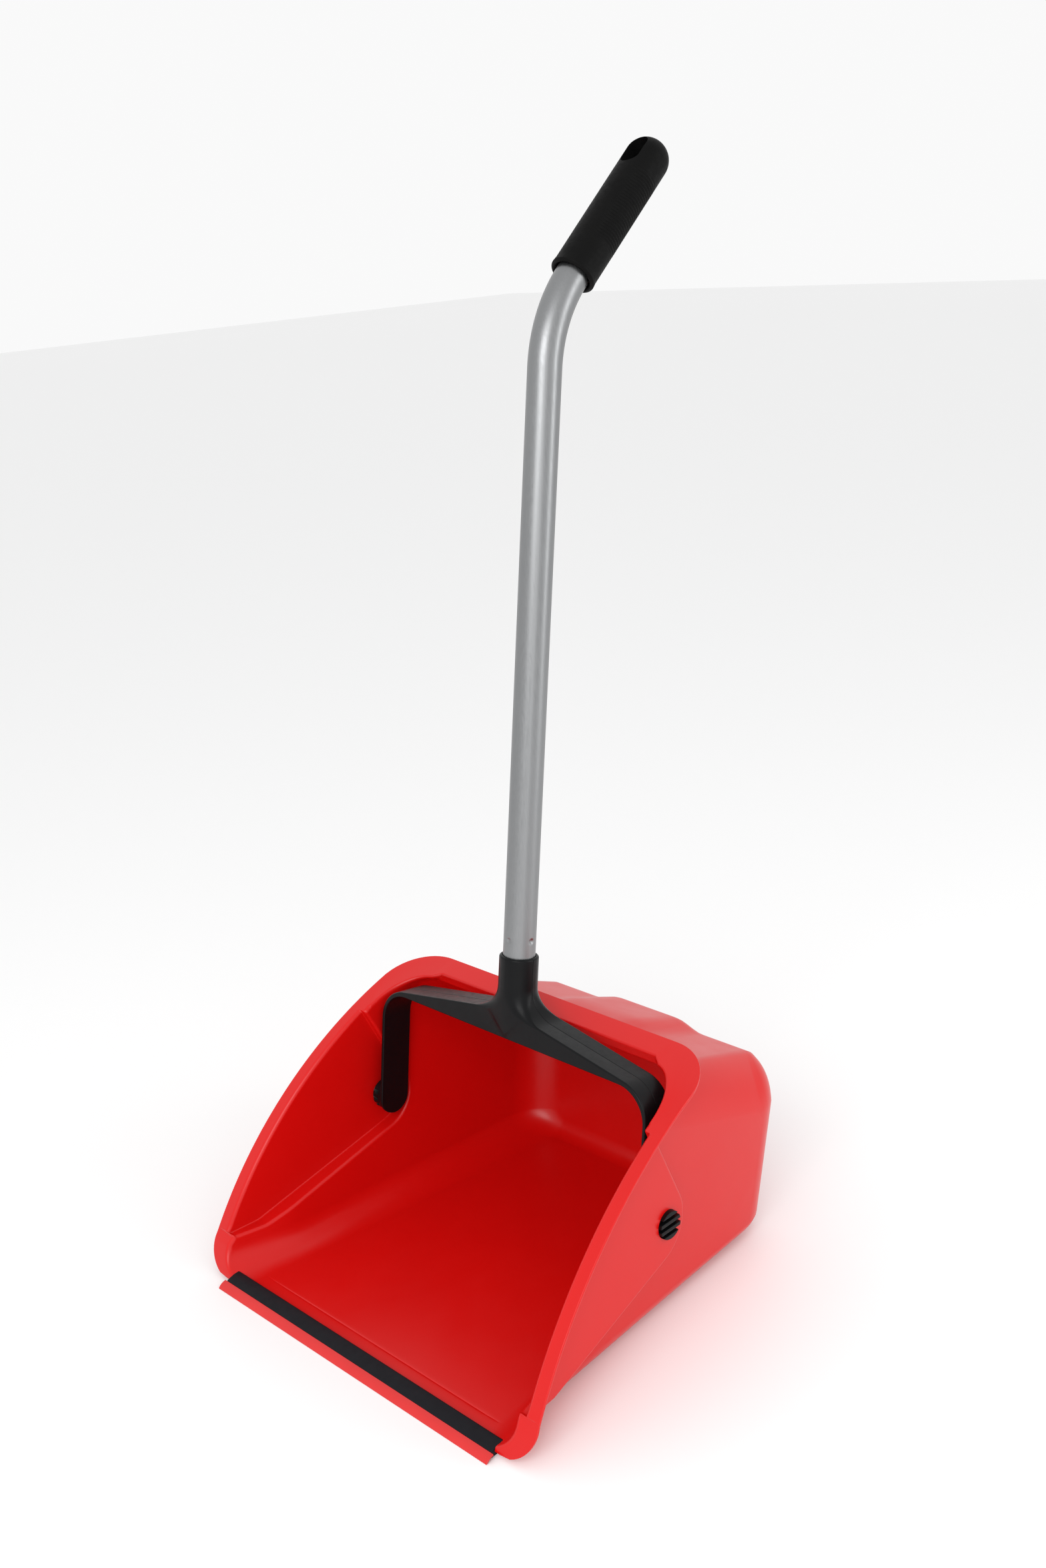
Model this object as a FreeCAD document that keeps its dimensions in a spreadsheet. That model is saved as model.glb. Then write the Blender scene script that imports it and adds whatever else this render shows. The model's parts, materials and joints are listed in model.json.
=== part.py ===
"""Long-handled lobby dustpan: a hooded pan with a folding yoke, a bent tube handle and a hand grip.

Frame: +X to the right, +Y to the back, +Z up, in millimetres. The origin is on the floor, on the
centre plane, directly below the axis on which the handle folds.
The handle's own pieces are drawn in a tilted frame: its origin is on the fold axis, its Z runs up
along the tube and its Y points to the back.
"""
import FreeCAD, Part
import math
import os
import Sketcher

Vector = FreeCAD.Vector
X_AXIS = Vector(1, 0, 0)
doc = FreeCAD.newDocument("lobby_dustpan")

# ---------------------------------------------------------------- driving dimensions

SIZES = {
    # pan body: side planes are half_width - spread * Y + Z * tan(draft), measured on the inside
    "wall": 2.5, "half_width": 139.4, "spread": 0.068, "draft": 3.66,
    "back_foot": 154.1, "back_edge": 178, "back_lean": 9.65, "back_corner": 30, "back_fillet": 14,
    "roof_front_y": 33, "roof_front_z": 195.5, "roof_slope": 21.2,
    # how far the construction solids run past the pan, and how much further their partners do
    "reach": 260, "form_top": 235, "margin": 20,
    # mouth: the flange's front face is part of a cylinder that lies along X
    "mouth_radius": 359, "mouth_y": 148.9, "mouth_z": -146.5,
    "flange_half": 167.7, "flange_spread": 0.079, "flange_top_y": 61.5,
    "flange_top_corner": 44, "flange_foot_half": 181.6, "flange_foot_z": 2, "flange_foot_corner": 19,
    # recess in the hood's front edge: the crossbar leans back into it
    "recess_half": 117, "recess_y": 42.6, "recess_z": 187,
    # wings: side pockets that give the folding arms room
    "wing_half": 155.5, "wing_spread": 0.075, "wing_corner": 30,
    "wing_kink_y": -134, "wing_kink_z": 30.5, "wing_floor_angle": 15,
    "wing_floor_rise": 0.13,
    "wing_notch_y": -13.5, "wing_notch_z": 172.7, "wing_back_angle": 24.0,
    # lip: a clip on the floor's front edge and a thin blade in front of it
    "clip_half": 150.4, "clip_back": -168, "clip_front": -180.5, "clip_height": 7,
    "floor_front": -176, "clip_foot": 0.8, "clip_gap": 0.1,
    "blade_half": 152.5, "blade_tip": -187.5, "blade_thick": 1.1, "blade_root": 4.4,
    "blade_knee_z": 2.7, "blade_knee_back": 0.7, "blade_tip_back": 1.5,
    # fold axis and yoke
    "pivot_height": 92, "lean": 9, "yoke_half": 143.8, "strap": 3.2, "strap_depth": 29,
    "bar_underside": 97.6, "bar_end": 4.4, "bar_rise": 9.5, "yoke_corner": 28,
    "collar_blend": 25, "crown_rise": 30,
    "collar_radius": 15, "collar_top": 163, "collar_edge": 2,
    "stud_radius": 11, "stud_end": 161.5, "stud_clearance": 0.08,
    "shoulder_radius": 13, "shoulder_end": 154.1, "slat_gap": 3, "slat_pitch": 5.8, "slat_depth": 13,
    # handle tube and the insert in its foot
    "tube_radius": 12.5, "tube_wall": 1.5, "tube_offset": 2.7, "tube_foot": 112,
    "tube_bend_start": 598, "tube_bend_radius": 100, "tube_bend": 40, "tube_in_grip": 96,
    "insert_top": 186, "insert_groove": 176.5, "groove_depth": 1.5, "groove_half": 4,
    "stud_screw_radius": 6, "stud_screw_foot": 101, "bore_overrun": 5, "joint_overlap": 1,
    # grip
    "grip_radius": 16.75, "grip_length": 130, "grip_round": 14,
    "hang_width": 15, "hang_length": 23, "hang_centre": 110.5,
}

sheet = doc.addObject("Spreadsheet::Sheet", "sizes")
for row, (alias, size) in enumerate(SIZES.items(), start=1):
    sheet.set("A%d" % row, alias)
    sheet.set("B%d" % row, str(size))
    sheet.setAlias("B%d" % row, alias)
doc.recompute()


def cells(text):
    """Turn the words of SIZES inside an expression into references to the sheet's cells."""
    out, word = "", ""
    for letter in text + " ":
        if letter.isalnum() or letter == "_":
            word += letter
            continue
        out += ("sizes." + word if word in SIZES else word) + letter
        word = ""
    return out.strip()


def bind(thing, **expressions):
    """Bind properties to the sheet; a double underscore in a name stands for a dot."""
    for name, text in expressions.items():
        thing.setExpression(name.replace("__", "."), cells(text))


def number(text):
    """The value of an expression in the sheet's cells, where a position is needed at once."""
    value = sheet.evalExpression(cells(text))
    return float(getattr(value, "Value", value))


# ---------------------------------------------------------------- helpers

def new_body(name):
    return doc.addObject("PartDesign::Body", name)


def new_sketch(body, name, plane, offset=None):
    """A sketch on one of its body's origin planes; offset is an expression along the normal."""
    sketch = body.newObject("Sketcher::SketchObject", name)
    planes = {feature.Role: feature for feature in body.Origin.OriginFeatures}
    sketch.AttachmentSupport = [(planes[plane], "")]
    sketch.MapMode = "FlatFace"
    if offset:
        bind(sketch, AttachmentOffset__Base__z=offset)
    return sketch


def pin_point(sketch, geometry, end, across, up):
    """Hold one point of a sketch at expressions measured from its origin; None leaves one free."""
    for kind, text in (("DistanceX", across), ("DistanceY", up)):
        if text is None:
            continue
        constraint = Sketcher.Constraint(kind, -1, 1, geometry, end, number(text))
        index = sketch.addConstraint(constraint)
        sketch.setExpression("Constraints[%d]" % index, cells(text))


def outline(sketch, points):
    """A closed outline of straight lines through points given as pairs of expressions."""
    values = [Vector(number(across), number(up), 0) for across, up in points]
    for start, stop in zip(values, values[1:] + values[:1]):
        sketch.addGeometry(Part.LineSegment(start, stop))
    count = len(points)
    for line in range(count):
        sketch.addConstraint(Sketcher.Constraint("Coincident", line, 2, (line + 1) % count, 1))
    for line, (across, up) in enumerate(points):
        pin_point(sketch, line, 1, across, up)


def disc(sketch, radius, across="0", up="0"):
    """A circle whose centre and radius are expressions."""
    circle = Part.Circle(Vector(number(across), number(up), 0), Vector(0, 0, 1), number(radius))
    geometry = sketch.addGeometry(circle)
    pin_point(sketch, geometry, 3, across, up)
    index = sketch.addConstraint(Sketcher.Constraint("Radius", geometry, number(radius)))
    sketch.setExpression("Constraints[%d]" % index, cells(radius))


def pad(body, name, sketch, length, middle=False):
    feature = body.newObject("PartDesign::Pad", name)
    feature.Profile = sketch
    feature.Midplane = middle
    bind(feature, Length=length)
    doc.recompute()
    return feature


def slab(name, plane, points, length, middle=True, offset=None):
    """A body made of one outline padded to a length."""
    body = new_body(name)
    sketch = new_sketch(body, name + "_outline", plane, offset)
    outline(sketch, points)
    pad(body, name + "_pad", sketch, length, middle)
    return body


def edges_near(shape, spots):
    """Names of the edges whose middle is nearest to each of the spots."""
    def middle(edge):
        return edge.valueAt((edge.FirstParameter + edge.LastParameter) / 2)

    names = []
    for spot in spots:
        gaps = [(middle(edge) - spot).Length for edge in shape.Edges]
        names.append("Edge%d" % (gaps.index(min(gaps)) + 1))
    return names


def round_edges(body, name, spots, radius):
    """Round the body's edges that are nearest to the spots."""
    tip = body.Tip
    feature = body.newObject("PartDesign::Fillet", name)
    feature.Base = (tip, edges_near(tip.Shape, spots))
    bind(feature, Radius=radius)
    doc.recompute()


def lean_out(body, name, angle):
    """Tilt the body's left and right faces outwards by an angle, about its own XY plane."""
    tip = body.Tip
    sides = ["Face%d" % index for index, face in enumerate(tip.Shape.Faces, start=1)
             if abs(face.normalAt(0, 0).x) > 0.9]
    planes = {feature.Role: feature for feature in body.Origin.OriginFeatures}
    feature = body.newObject("PartDesign::Draft", name)
    feature.Base = (tip, sides)
    feature.NeutralPlane = (planes["XY_Plane"], [""])
    feature.Reversed = True
    bind(feature, Angle=angle)
    doc.recompute()


def round_rim(body, name, height, radius):
    """Round the widest of the body's level edges at a height."""
    tip = body.Tip
    level = [(edge.BoundBox.XLength, index) for index, edge in enumerate(tip.Shape.Edges, start=1)
             if abs(edge.BoundBox.ZMin - number(height)) < 0.01 and edge.BoundBox.ZLength < 0.01]
    feature = body.newObject("PartDesign::Fillet", name)
    feature.Base = (tip, ["Edge%d" % max(level)[1]])
    bind(feature, Radius=radius)
    doc.recompute()


def combine(kind, name, pieces):
    """A boolean of whole objects: Part::MultiFuse, Part::MultiCommon or Part::Cut."""
    result = doc.addObject(kind, name)
    if kind == "Part::Cut":
        result.Base, result.Tool = pieces
    else:
        result.Shapes = pieces
    doc.recompute()
    return result


def rod(name, radius, length, start):
    """A cylinder along +X; start holds the expressions of its first centre."""
    cylinder = doc.addObject("Part::Cylinder", name)
    cylinder.Placement = FreeCAD.Placement(Vector(), FreeCAD.Rotation(Vector(0, 1, 0), 90))
    bind(cylinder, Radius=radius, Height=length, Placement__Base__x=start[0],
         Placement__Base__y=start[1], Placement__Base__z=start[2])
    return cylinder


def mirrored(name, source):
    mirror = doc.addObject("Part::Mirroring", name)
    mirror.Source = source
    mirror.Normal = X_AXIS
    return mirror


def place_in_handle(thing, across="0", along="0", turn="lean"):
    """Put an object on the handle: its frame's origin, given in the handle's frame, and its tilt."""
    thing.Placement = FreeCAD.Placement(Vector(), FreeCAD.Rotation(X_AXIS, 1))
    bind(thing, Placement__Rotation__Angle="-(%s)" % turn,
         Placement__Base__y="(%s) * cos(lean) + (%s) * sin(lean)" % (across, along),
         Placement__Base__z="pivot_height - (%s) * sin(lean) + (%s) * cos(lean)" % (across, along))


# ---------------------------------------------------------------- pan

def main_form(name, inset):
    """The pan's main hollow or outer body: side profile crossed with a plan that widens upwards."""
    back = "(back_foot - (%s) / cos(back_lean))" % inset
    roof = "(roof_front_z + roof_front_y * tan(roof_slope) - (%s) / cos(roof_slope))" % inset
    ridge = "((%s - tan(roof_slope) * %s) / (1 + tan(roof_slope) * tan(back_lean)))" % (roof, back)
    side = slab(name + "_side", "YZ_Plane", [
        ("-reach", inset),
        ("%s + (%s) * tan(back_lean)" % (back, inset), inset),
        ("%s + %s * tan(back_lean)" % (back, ridge), ridge),
        ("-reach", "%s + reach * tan(roof_slope)" % roof)], "2 * reach")
    foot = Vector(0, number("back_foot"), number(inset))
    round_edges(side, name + "_back_fillet", [foot], "back_fillet - (%s)" % inset)

    width = "(half_width + wall - (%s)" % inset
    plan = slab(name + "_plan", "XY_Plane", [
        ("-%s + spread * (reach + margin))" % width, "-reach - margin"),
        (width + " + spread * (reach + margin))", "-reach - margin"),
        (width + " - spread * back_edge)", "back_edge - (%s)" % inset),
        ("-%s - spread * back_edge)" % width, "back_edge - (%s)" % inset)],
        "form_top + 2 * margin", middle=False, offset="-margin")
    lean_out(plan, name + "_draft", "draft")
    corners = [Vector(side_of * number("half_width"), number("back_edge"), number("form_top") / 2)
               for side_of in (-1, 1)]
    round_edges(plan, name + "_back_corners", corners, "back_corner - (%s)" % inset)
    return combine("Part::MultiCommon", name, [side, plan])


def wing_form(name, inset):
    """Both wings as one bar across the pan: a side outline crossed with a plan."""
    slope = "tan(wing_floor_angle)"
    fall = "tan(wing_back_angle)"
    low = "(wing_kink_z - %s)" % inset
    floor = "(%s - (%s) * wing_floor_rise)" % (low, inset)
    notch = "(wing_notch_y + wing_notch_z * %s + (%s) / cos(wing_back_angle))" % (fall, inset)
    corner_z = "((%s + %s * (%s - wing_kink_y)) / (1 + %s * %s))" % (floor, slope, notch, slope, fall)
    side = slab(name + "_side", "YZ_Plane", [
        ("-reach", low), ("wing_kink_y", low),
        ("%s - %s * %s" % (notch, corner_z, fall), corner_z),
        ("%s - form_top * %s" % (notch, fall), "form_top"),
        ("-reach", "form_top")], "2 * reach")
    corner = Vector(0, number("%s - %s * %s" % (notch, corner_z, fall)), number(corner_z))
    round_edges(side, name + "_fillet", [corner], "wing_corner + (%s)" % inset)

    plan = slab(name + "_plan", "XY_Plane", [
        ("-wing_half - (%s) - wing_spread * reach" % inset, "-reach"),
        ("wing_half + (%s) + wing_spread * reach" % inset, "-reach"),
        ("wing_half + (%s) - wing_spread * reach" % inset, "reach"),
        ("-wing_half - (%s) + wing_spread * reach" % inset, "reach")], "form_top", middle=False)
    return combine("Part::MultiCommon", name, [side, plan])


def flange_band():
    """The plate around the mouth: a curved sheet trimmed by its plan and by its front view."""
    outer = rod("mouth_face", "mouth_radius", "2 * reach", ("-reach", "mouth_y", "mouth_z"))
    inner = rod("mouth_back", "mouth_radius - wall", "2 * reach", ("-reach", "mouth_y", "mouth_z"))
    band = combine("Part::Cut", "mouth_sheet", (outer, inner))

    plan = slab("flange_plan", "XY_Plane", [
        ("-flange_half - flange_spread * reach", "-reach"),
        ("flange_half + flange_spread * reach", "-reach"),
        ("flange_half - flange_spread * flange_top_y", "flange_top_y"),
        ("-flange_half + flange_spread * flange_top_y", "flange_top_y")], "form_top", middle=False)
    half = number("flange_half - flange_spread * flange_top_y")
    top_corners = [Vector(side * half, number("flange_top_y"), number("form_top") / 2) for side in (-1, 1)]
    round_edges(plan, "flange_top_corners", top_corners, "flange_top_corner")

    front = slab("flange_front", "XZ_Plane", [
        ("-flange_foot_half", "flange_foot_z"), ("flange_foot_half", "flange_foot_z"),
        ("flange_foot_half", "form_top"), ("-flange_foot_half", "form_top")], "2 * reach")
    foot_corners = [Vector(side * number("flange_foot_half"), 0, number("flange_foot_z")) for side in (-1, 1)]
    round_edges(front, "flange_foot_corners", foot_corners, "flange_foot_corner")
    return outer, combine("Part::MultiCommon", "flange_band", [band, plan, front])


def recess_block(mouth):
    """The thickened stretch of the hood's front edge that holds the recess, under the flange."""
    block = slab("recess_block", "YZ_Plane", [
        ("0", "recess_z"), ("recess_y + wall", "recess_z"), ("recess_y + wall", "form_top"),
        ("0", "form_top")], "2 * (recess_half + wall)")
    return combine("Part::MultiCommon", "recess_solid", [block, mouth])


def recess():
    """The space that the crossbar leans back into."""
    return slab("recess", "YZ_Plane", [
        ("-reach", "recess_z"), ("recess_y", "recess_z"), ("recess_y", "form_top + margin"),
        ("-reach", "form_top + margin")], "2 * recess_half")


def clip_seat():
    """What the floor's front edge gives up to the clip: its tip and a shallow step underneath."""
    return slab("clip_seat", "YZ_Plane", [
        ("-reach", "-wall"), ("clip_back + clip_gap", "-wall"), ("clip_back + clip_gap", "clip_foot"),
        ("floor_front", "clip_foot"), ("floor_front", "wall"), ("-reach", "wall")],
        "2 * (clip_half + clip_gap)")


def pan_shell():
    """The moulded pan: walls of one thickness, open at the mouth, with a hole in each wing."""
    mouth, band = flange_band()
    body = combine("Part::MultiFuse", "pan_solid", [main_form("pan_outer", "0"), wing_form("wing_outer", "wall")])
    trimmed = combine("Part::MultiCommon", "pan_trimmed", [body, mouth])
    flanged = combine("Part::MultiFuse", "pan_flanged", [trimmed, band, recess_block(mouth)])
    hollow = combine("Part::MultiFuse", "pan_hollow", [
        main_form("pan_inner", "wall"), wing_form("wing_inner", "0"), clip_seat(), recess(),
        rod("pivot_holes", "stud_radius + stud_clearance", "2 * reach", ("-reach", "0", "pivot_height"))])
    return combine("Part::Cut", "pan_shell", (flanged, hollow))


# ---------------------------------------------------------------- lip

def lip_clip():
    """A black profile that grips the floor's front edge from above, in front and below."""
    return slab("lip_clip", "YZ_Plane", [
        ("clip_back", "0"), ("clip_back", "clip_foot"), ("floor_front", "clip_foot"),
        ("floor_front", "wall"), ("clip_back", "wall"), ("clip_back", "clip_height"),
        ("floor_front", "clip_height"), ("clip_front", "blade_root"), ("clip_front", "0")],
        "2 * clip_half")


def lip_blade():
    """The thin blade: it leaves the clip's front face and bends down to the floor."""
    knee = "(clip_front + blade_tip) / 2 - blade_thick"
    return slab("lip_blade", "YZ_Plane", [
        ("clip_front", "blade_root"), (knee, "blade_knee_z"), ("blade_tip", "0"),
        ("blade_tip + blade_tip_back", "0"),
        ("%s + blade_knee_back" % knee, "blade_knee_z - blade_thick"),
        ("clip_front", "blade_root - blade_thick")], "2 * blade_half")


# ---------------------------------------------------------------- handle

def yoke_strap():
    """Crossbar and both arms, drawn from the front and padded to the strap's depth."""
    shoulder = "(bar_underside + bar_end - yoke_corner * tan(bar_rise))"
    crown = "(%s + (yoke_half - collar_radius) * tan(bar_rise))" % shoulder
    right = [("yoke_half - strap", "bar_underside"), ("yoke_half - strap", "0"), ("yoke_half", "0"),
             ("yoke_half", shoulder), ("collar_radius", crown)]
    top = [("collar_radius", "%s + crown_rise" % crown)]
    half = right + top
    left = [("-(%s)" % across, up) for across, up in reversed(half)]
    strap = slab("yoke_strap", "XZ_Plane", half + left, "strap_depth")
    for side in (-1, 1):
        tag = "left" if side < 0 else "right"
        outer = Vector(side * number("yoke_half"), 0, number(shoulder))
        round_edges(strap, "corner_outer_" + tag, [outer], "yoke_corner")
        inner = Vector(side * number("yoke_half - strap"), 0, number("bar_underside"))
        round_edges(strap, "corner_inner_" + tag, [inner], "yoke_corner - strap")
        blend = Vector(side * number("collar_radius"), 0, number(crown))
        round_edges(strap, "collar_blend_" + tag, [blend], "collar_blend")
    return strap


def pivot_stud():
    """The right arm's round end with its shoulder and slatted stud, along +X."""
    cap = rod("arm_end", "strap_depth / 2", "strap", ("yoke_half - strap", "0", "0"))
    root = ("yoke_half - joint_overlap", "0", "0")
    shoulder = rod("stud_shoulder", "shoulder_radius", "shoulder_end - yoke_half + joint_overlap", root)
    stud = rod("stud_core", "stud_radius", "stud_end - yoke_half + joint_overlap", root)
    solid = combine("Part::MultiFuse", "stud_solid", [cap, shoulder, stud])
    slots = []
    for step in (-1, 0, 1):
        slot = doc.addObject("Part::Box", "stud_slot_%d" % (step + 1))
        bind(slot, Length="slat_depth + margin", Width="4 * stud_radius", Height="slat_gap")
        lift = "(%d * slat_pitch - slat_gap / 2)" % step
        slot.Placement = FreeCAD.Placement(Vector(), FreeCAD.Rotation(X_AXIS, 1))
        bind(slot, Placement__Rotation__Angle="lean", Placement__Base__x="stud_end - slat_depth",
             Placement__Base__y="-2 * stud_radius * cos(lean) - %s * sin(lean)" % lift,
             Placement__Base__z="-2 * stud_radius * sin(lean) + %s * cos(lean)" % lift)
        slots.append(slot)
    cutters = combine("Part::MultiFuse", "stud_slots", slots)
    return combine("Part::Cut", "pivot_stud_right", (solid, cutters))


def upright(name, radius, foot, top):
    """A body with one vertical cylinder on the tube's axis, in the handle's frame."""
    body = new_body(name)
    sketch = new_sketch(body, name + "_circle", "XY_Plane", foot)
    disc(sketch, radius, up="-tube_offset")
    pad(body, name + "_pad", sketch, "%s - (%s)" % (top, foot))
    return body


def yoke():
    """Tube socket, crossbar, arms and studs in one moulding."""
    collar = upright("collar", "collar_radius", "bar_underside", "collar_top")
    round_rim(collar, "collar_rim", "collar_top", "collar_edge")
    right = pivot_stud()
    solid = combine("Part::MultiFuse", "yoke_solid",
                    [yoke_strap(), collar, right, mirrored("pivot_stud_left", right)])
    bores = combine("Part::MultiFuse", "yoke_bores", [
        upright("socket_bore", "tube_radius", "tube_foot", "collar_top + bore_overrun"),
        upright("screw_bore", "stud_screw_radius", "stud_screw_foot", "tube_foot + bore_overrun")])
    yoke_part = combine("Part::Cut", "yoke", (solid, bores))
    place_in_handle(yoke_part)
    return yoke_part


def handle_tube():
    """A round tube: straight, one backward bend, then straight again inside the grip."""
    body = new_body("handle_tube")
    ring = new_sketch(body, "tube_section", "XY_Plane")
    disc(ring, "tube_radius")
    disc(ring, "tube_radius - tube_wall")
    path = new_sketch(body, "tube_path", "YZ_Plane")
    straight, radius = number("tube_bend_start - tube_foot"), number("tube_bend_radius")
    bend = math.radians(number("tube_bend"))
    knee = Vector(radius * (1 - math.cos(bend)), straight + radius * math.sin(bend), 0)
    centre = Vector(radius, straight, 0)
    tail = knee + Vector(math.sin(bend), math.cos(bend), 0) * number("tube_in_grip")
    first = path.addGeometry(Part.LineSegment(Vector(), Vector(0, straight, 0)))
    arc = path.addGeometry(Part.ArcOfCircle(Part.Circle(centre, Vector(0, 0, 1), radius),
                                            math.pi - bend, math.pi))
    last = path.addGeometry(Part.LineSegment(knee, tail))
    for constraint in (Sketcher.Constraint("Coincident", first, 2, arc, 2),
                       Sketcher.Constraint("Coincident", arc, 1, last, 1)):
        path.addConstraint(constraint)
    pin_point(path, first, 1, "0", "0")
    pin_point(path, first, 2, "0", "tube_bend_start - tube_foot")
    pin_point(path, arc, 3, "tube_bend_radius", "tube_bend_start - tube_foot")
    pin_point(path, last, 1, "tube_bend_radius * (1 - cos(tube_bend))", None)
    pin_point(path, last, 2, "tube_bend_radius * (1 - cos(tube_bend)) + tube_in_grip * sin(tube_bend)",
              "tube_bend_start - tube_foot + tube_bend_radius * sin(tube_bend)"
              " + tube_in_grip * cos(tube_bend)")
    doc.recompute()
    pipe = body.newObject("PartDesign::AdditivePipe", "tube_pipe")
    pipe.Profile = ring
    pipe.Spine = path
    doc.recompute()
    place_in_handle(body, "-tube_offset", "tube_foot")
    return body


def turned(name, profile):
    """A body revolved about its own Z axis from an outline of radius and height."""
    body = new_body(name)
    sketch = new_sketch(body, name + "_profile", "XZ_Plane")
    outline(sketch, profile)
    feature = body.newObject("PartDesign::Revolution", name + "_turned")
    feature.Profile = sketch
    feature.ReferenceAxis = (sketch, ["V_Axis"])
    feature.Angle = 360
    doc.recompute()
    return body


def tube_insert():
    """The plug that the tube's dimples hold, with its stud in the yoke."""
    waist = "(tube_radius - tube_wall)"
    body = turned("tube_insert", [
        ("0", "stud_screw_foot"), ("stud_screw_radius", "stud_screw_foot"),
        ("stud_screw_radius", "tube_foot"), (waist, "tube_foot"),
        (waist, "insert_groove - groove_half"),
        (waist + " - groove_depth", "insert_groove - groove_half / 2"),
        (waist + " - groove_depth", "insert_groove + groove_half / 2"),
        (waist, "insert_groove + groove_half"), (waist, "insert_top"), ("0", "insert_top")])
    place_in_handle(body, "-tube_offset")
    return body


def hand_grip():
    """A sleeve with a round closed end and an oblong hole to hang it by."""
    body = turned("hand_grip", [
        ("tube_radius", "0"), ("grip_radius", "0"), ("grip_radius", "grip_length"),
        ("0", "grip_length"), ("0", "tube_in_grip"), ("tube_radius", "tube_in_grip")])
    round_rim(body, "grip_end", "grip_length", "grip_round")
    sketch = new_sketch(body, "hang_outline", "XZ_Plane")
    low, high = "hang_centre - hang_length / 2", "hang_centre + hang_length / 2"
    outline(sketch, [("-hang_width / 2", low), ("hang_width / 2", low),
                     ("hang_width / 2", high), ("-hang_width / 2", high)])
    hole = body.newObject("PartDesign::Pocket", "hang_hole")
    hole.Profile = sketch
    hole.Midplane = True
    bind(hole, Length="4 * grip_radius")
    doc.recompute()
    place_in_handle(body, "tube_bend_radius * (1 - cos(tube_bend)) - tube_offset",
                    "tube_bend_start + tube_bend_radius * sin(tube_bend)", turn="lean + tube_bend")
    return body


# ---------------------------------------------------------------- build, check and write

parts = [pan_shell(), lip_clip(), lip_blade(), yoke(), tube_insert(), handle_tube(), hand_grip()]
for part in parts:
    part.Label = part.Name
doc.recompute()

for thing in doc.Objects:
    if "Invalid" in thing.State or "Error" in thing.State:
        raise RuntimeError("%s did not build: %s" % (thing.Name, thing.State))
os.makedirs("parts", exist_ok=True)
for part in parts:
    if part.Shape.isNull() or not part.Shape.isValid():
        raise RuntimeError("%s has no valid shape" % part.Name)
for part in parts:
    part.Shape.exportStep("parts/%s.step" % part.Label)
    box = part.Shape.BoundBox
    print("%-12s solids %d  volume %.1f cm3  x %.1f..%.1f  y %.1f..%.1f  z %.1f..%.1f" % (
        part.Label, len(part.Shape.Solids), part.Shape.Volume / 1000,
        box.XMin, box.XMax, box.YMin, box.YMax, box.ZMin, box.ZMax))
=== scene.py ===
import json
import math
from functools import partial

import bmesh
import bpy
import numpy as np
from mathutils import Matrix, Vector
from mathutils.geometry import delaunay_2d_cdt


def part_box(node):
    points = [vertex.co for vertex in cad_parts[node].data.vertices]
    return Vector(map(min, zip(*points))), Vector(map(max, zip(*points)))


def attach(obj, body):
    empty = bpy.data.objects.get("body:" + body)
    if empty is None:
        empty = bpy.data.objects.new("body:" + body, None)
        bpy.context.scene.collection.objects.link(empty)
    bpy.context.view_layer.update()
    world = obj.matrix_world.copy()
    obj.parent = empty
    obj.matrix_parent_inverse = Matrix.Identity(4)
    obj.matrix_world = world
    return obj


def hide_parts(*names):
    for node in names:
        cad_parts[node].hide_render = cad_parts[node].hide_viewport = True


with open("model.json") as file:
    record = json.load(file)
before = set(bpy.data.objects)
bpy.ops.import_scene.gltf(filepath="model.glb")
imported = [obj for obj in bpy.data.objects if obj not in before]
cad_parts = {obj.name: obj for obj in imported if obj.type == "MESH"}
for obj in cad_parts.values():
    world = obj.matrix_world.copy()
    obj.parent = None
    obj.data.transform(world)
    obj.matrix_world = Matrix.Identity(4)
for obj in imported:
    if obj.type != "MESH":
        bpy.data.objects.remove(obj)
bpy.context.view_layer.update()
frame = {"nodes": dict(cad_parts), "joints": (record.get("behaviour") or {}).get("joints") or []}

# Shapes are worked out in millimetres in the row frame: +X right, -Y front, +Z up, floor at Z = 0.
MM = 0.001


def node_box(node):
    """A CAD node's lowest and highest corners, in millimetres."""
    low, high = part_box(node)
    return np.array(low) / MM, np.array(high) / MM


CLIP_LOW, CLIP_HIGH = node_box("lip_clip")
BLADE_LOW, BLADE_HIGH = node_box("lip_blade")
STUD_END = node_box("yoke")[1][0]
TUBE_R = node_box("handle_tube")[1][0]
GRIP_R = node_box("hand_grip")[1][0]
PIVOT_Z = frame["joints"][0]["pos_m"][2] / MM

# ---- the pan's driving sizes

WALL = 2.5
HALF, SPREAD, RISE = 139.4, 0.068, 0.064  # inner side wall: x = HALF - SPREAD y + RISE z
WING_HALF, WING_SPREAD = 155.5, 0.075  # inner wing wall
MOUTH_Y, MOUTH_Z, MOUTH_R = 148.9, -146.5, 359.0  # the cylinder that the mouth's flange lies on
ROOF_Y, ROOF_Z, ROOF_FALL = 33.0, 195.5, math.tan(math.radians(21.2))
BACK_Y, BACK_LEAN = 154.1, math.tan(math.radians(9.65))
BACK_MIDDLE = 70.0  # height of the back wall's middle
RECESS_HALF, RECESS_Y, RECESS_ROUND = 115.7, 42.6, 2.0
RISER_ROUND, RISER_ROUND_OUTSIDE = 1.5, 3.0  # from the recess's riser into the roof
HOOD_Y, HOOD_Y_OUTSIDE = 33.5, 40.0  # the hood's front edge beside the recess
HOOD_CORNER_X, HOOD_CORNER_Y, DIAGONAL_X = 119.0, -8.0, 123.4
NOTCH = (-13.5, 172.7)  # the pocket's upper end, as (y, z)
KINK_Y, LEDGE_Z, KNEE_ROUND = -134.0, 30.5, 8.0
LEDGE_SLOPE, POCKET_SLOPE, POCKET_ROUND = math.radians(15), math.radians(24), 30.0
STEP_ROUND, STEP_REACH = 1.2, 6.0
FLARE, FLARE_Y, FLARE_EASE = 0.19, -108.0, 12.0  # the side walls spread in front of FLARE_Y
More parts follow.
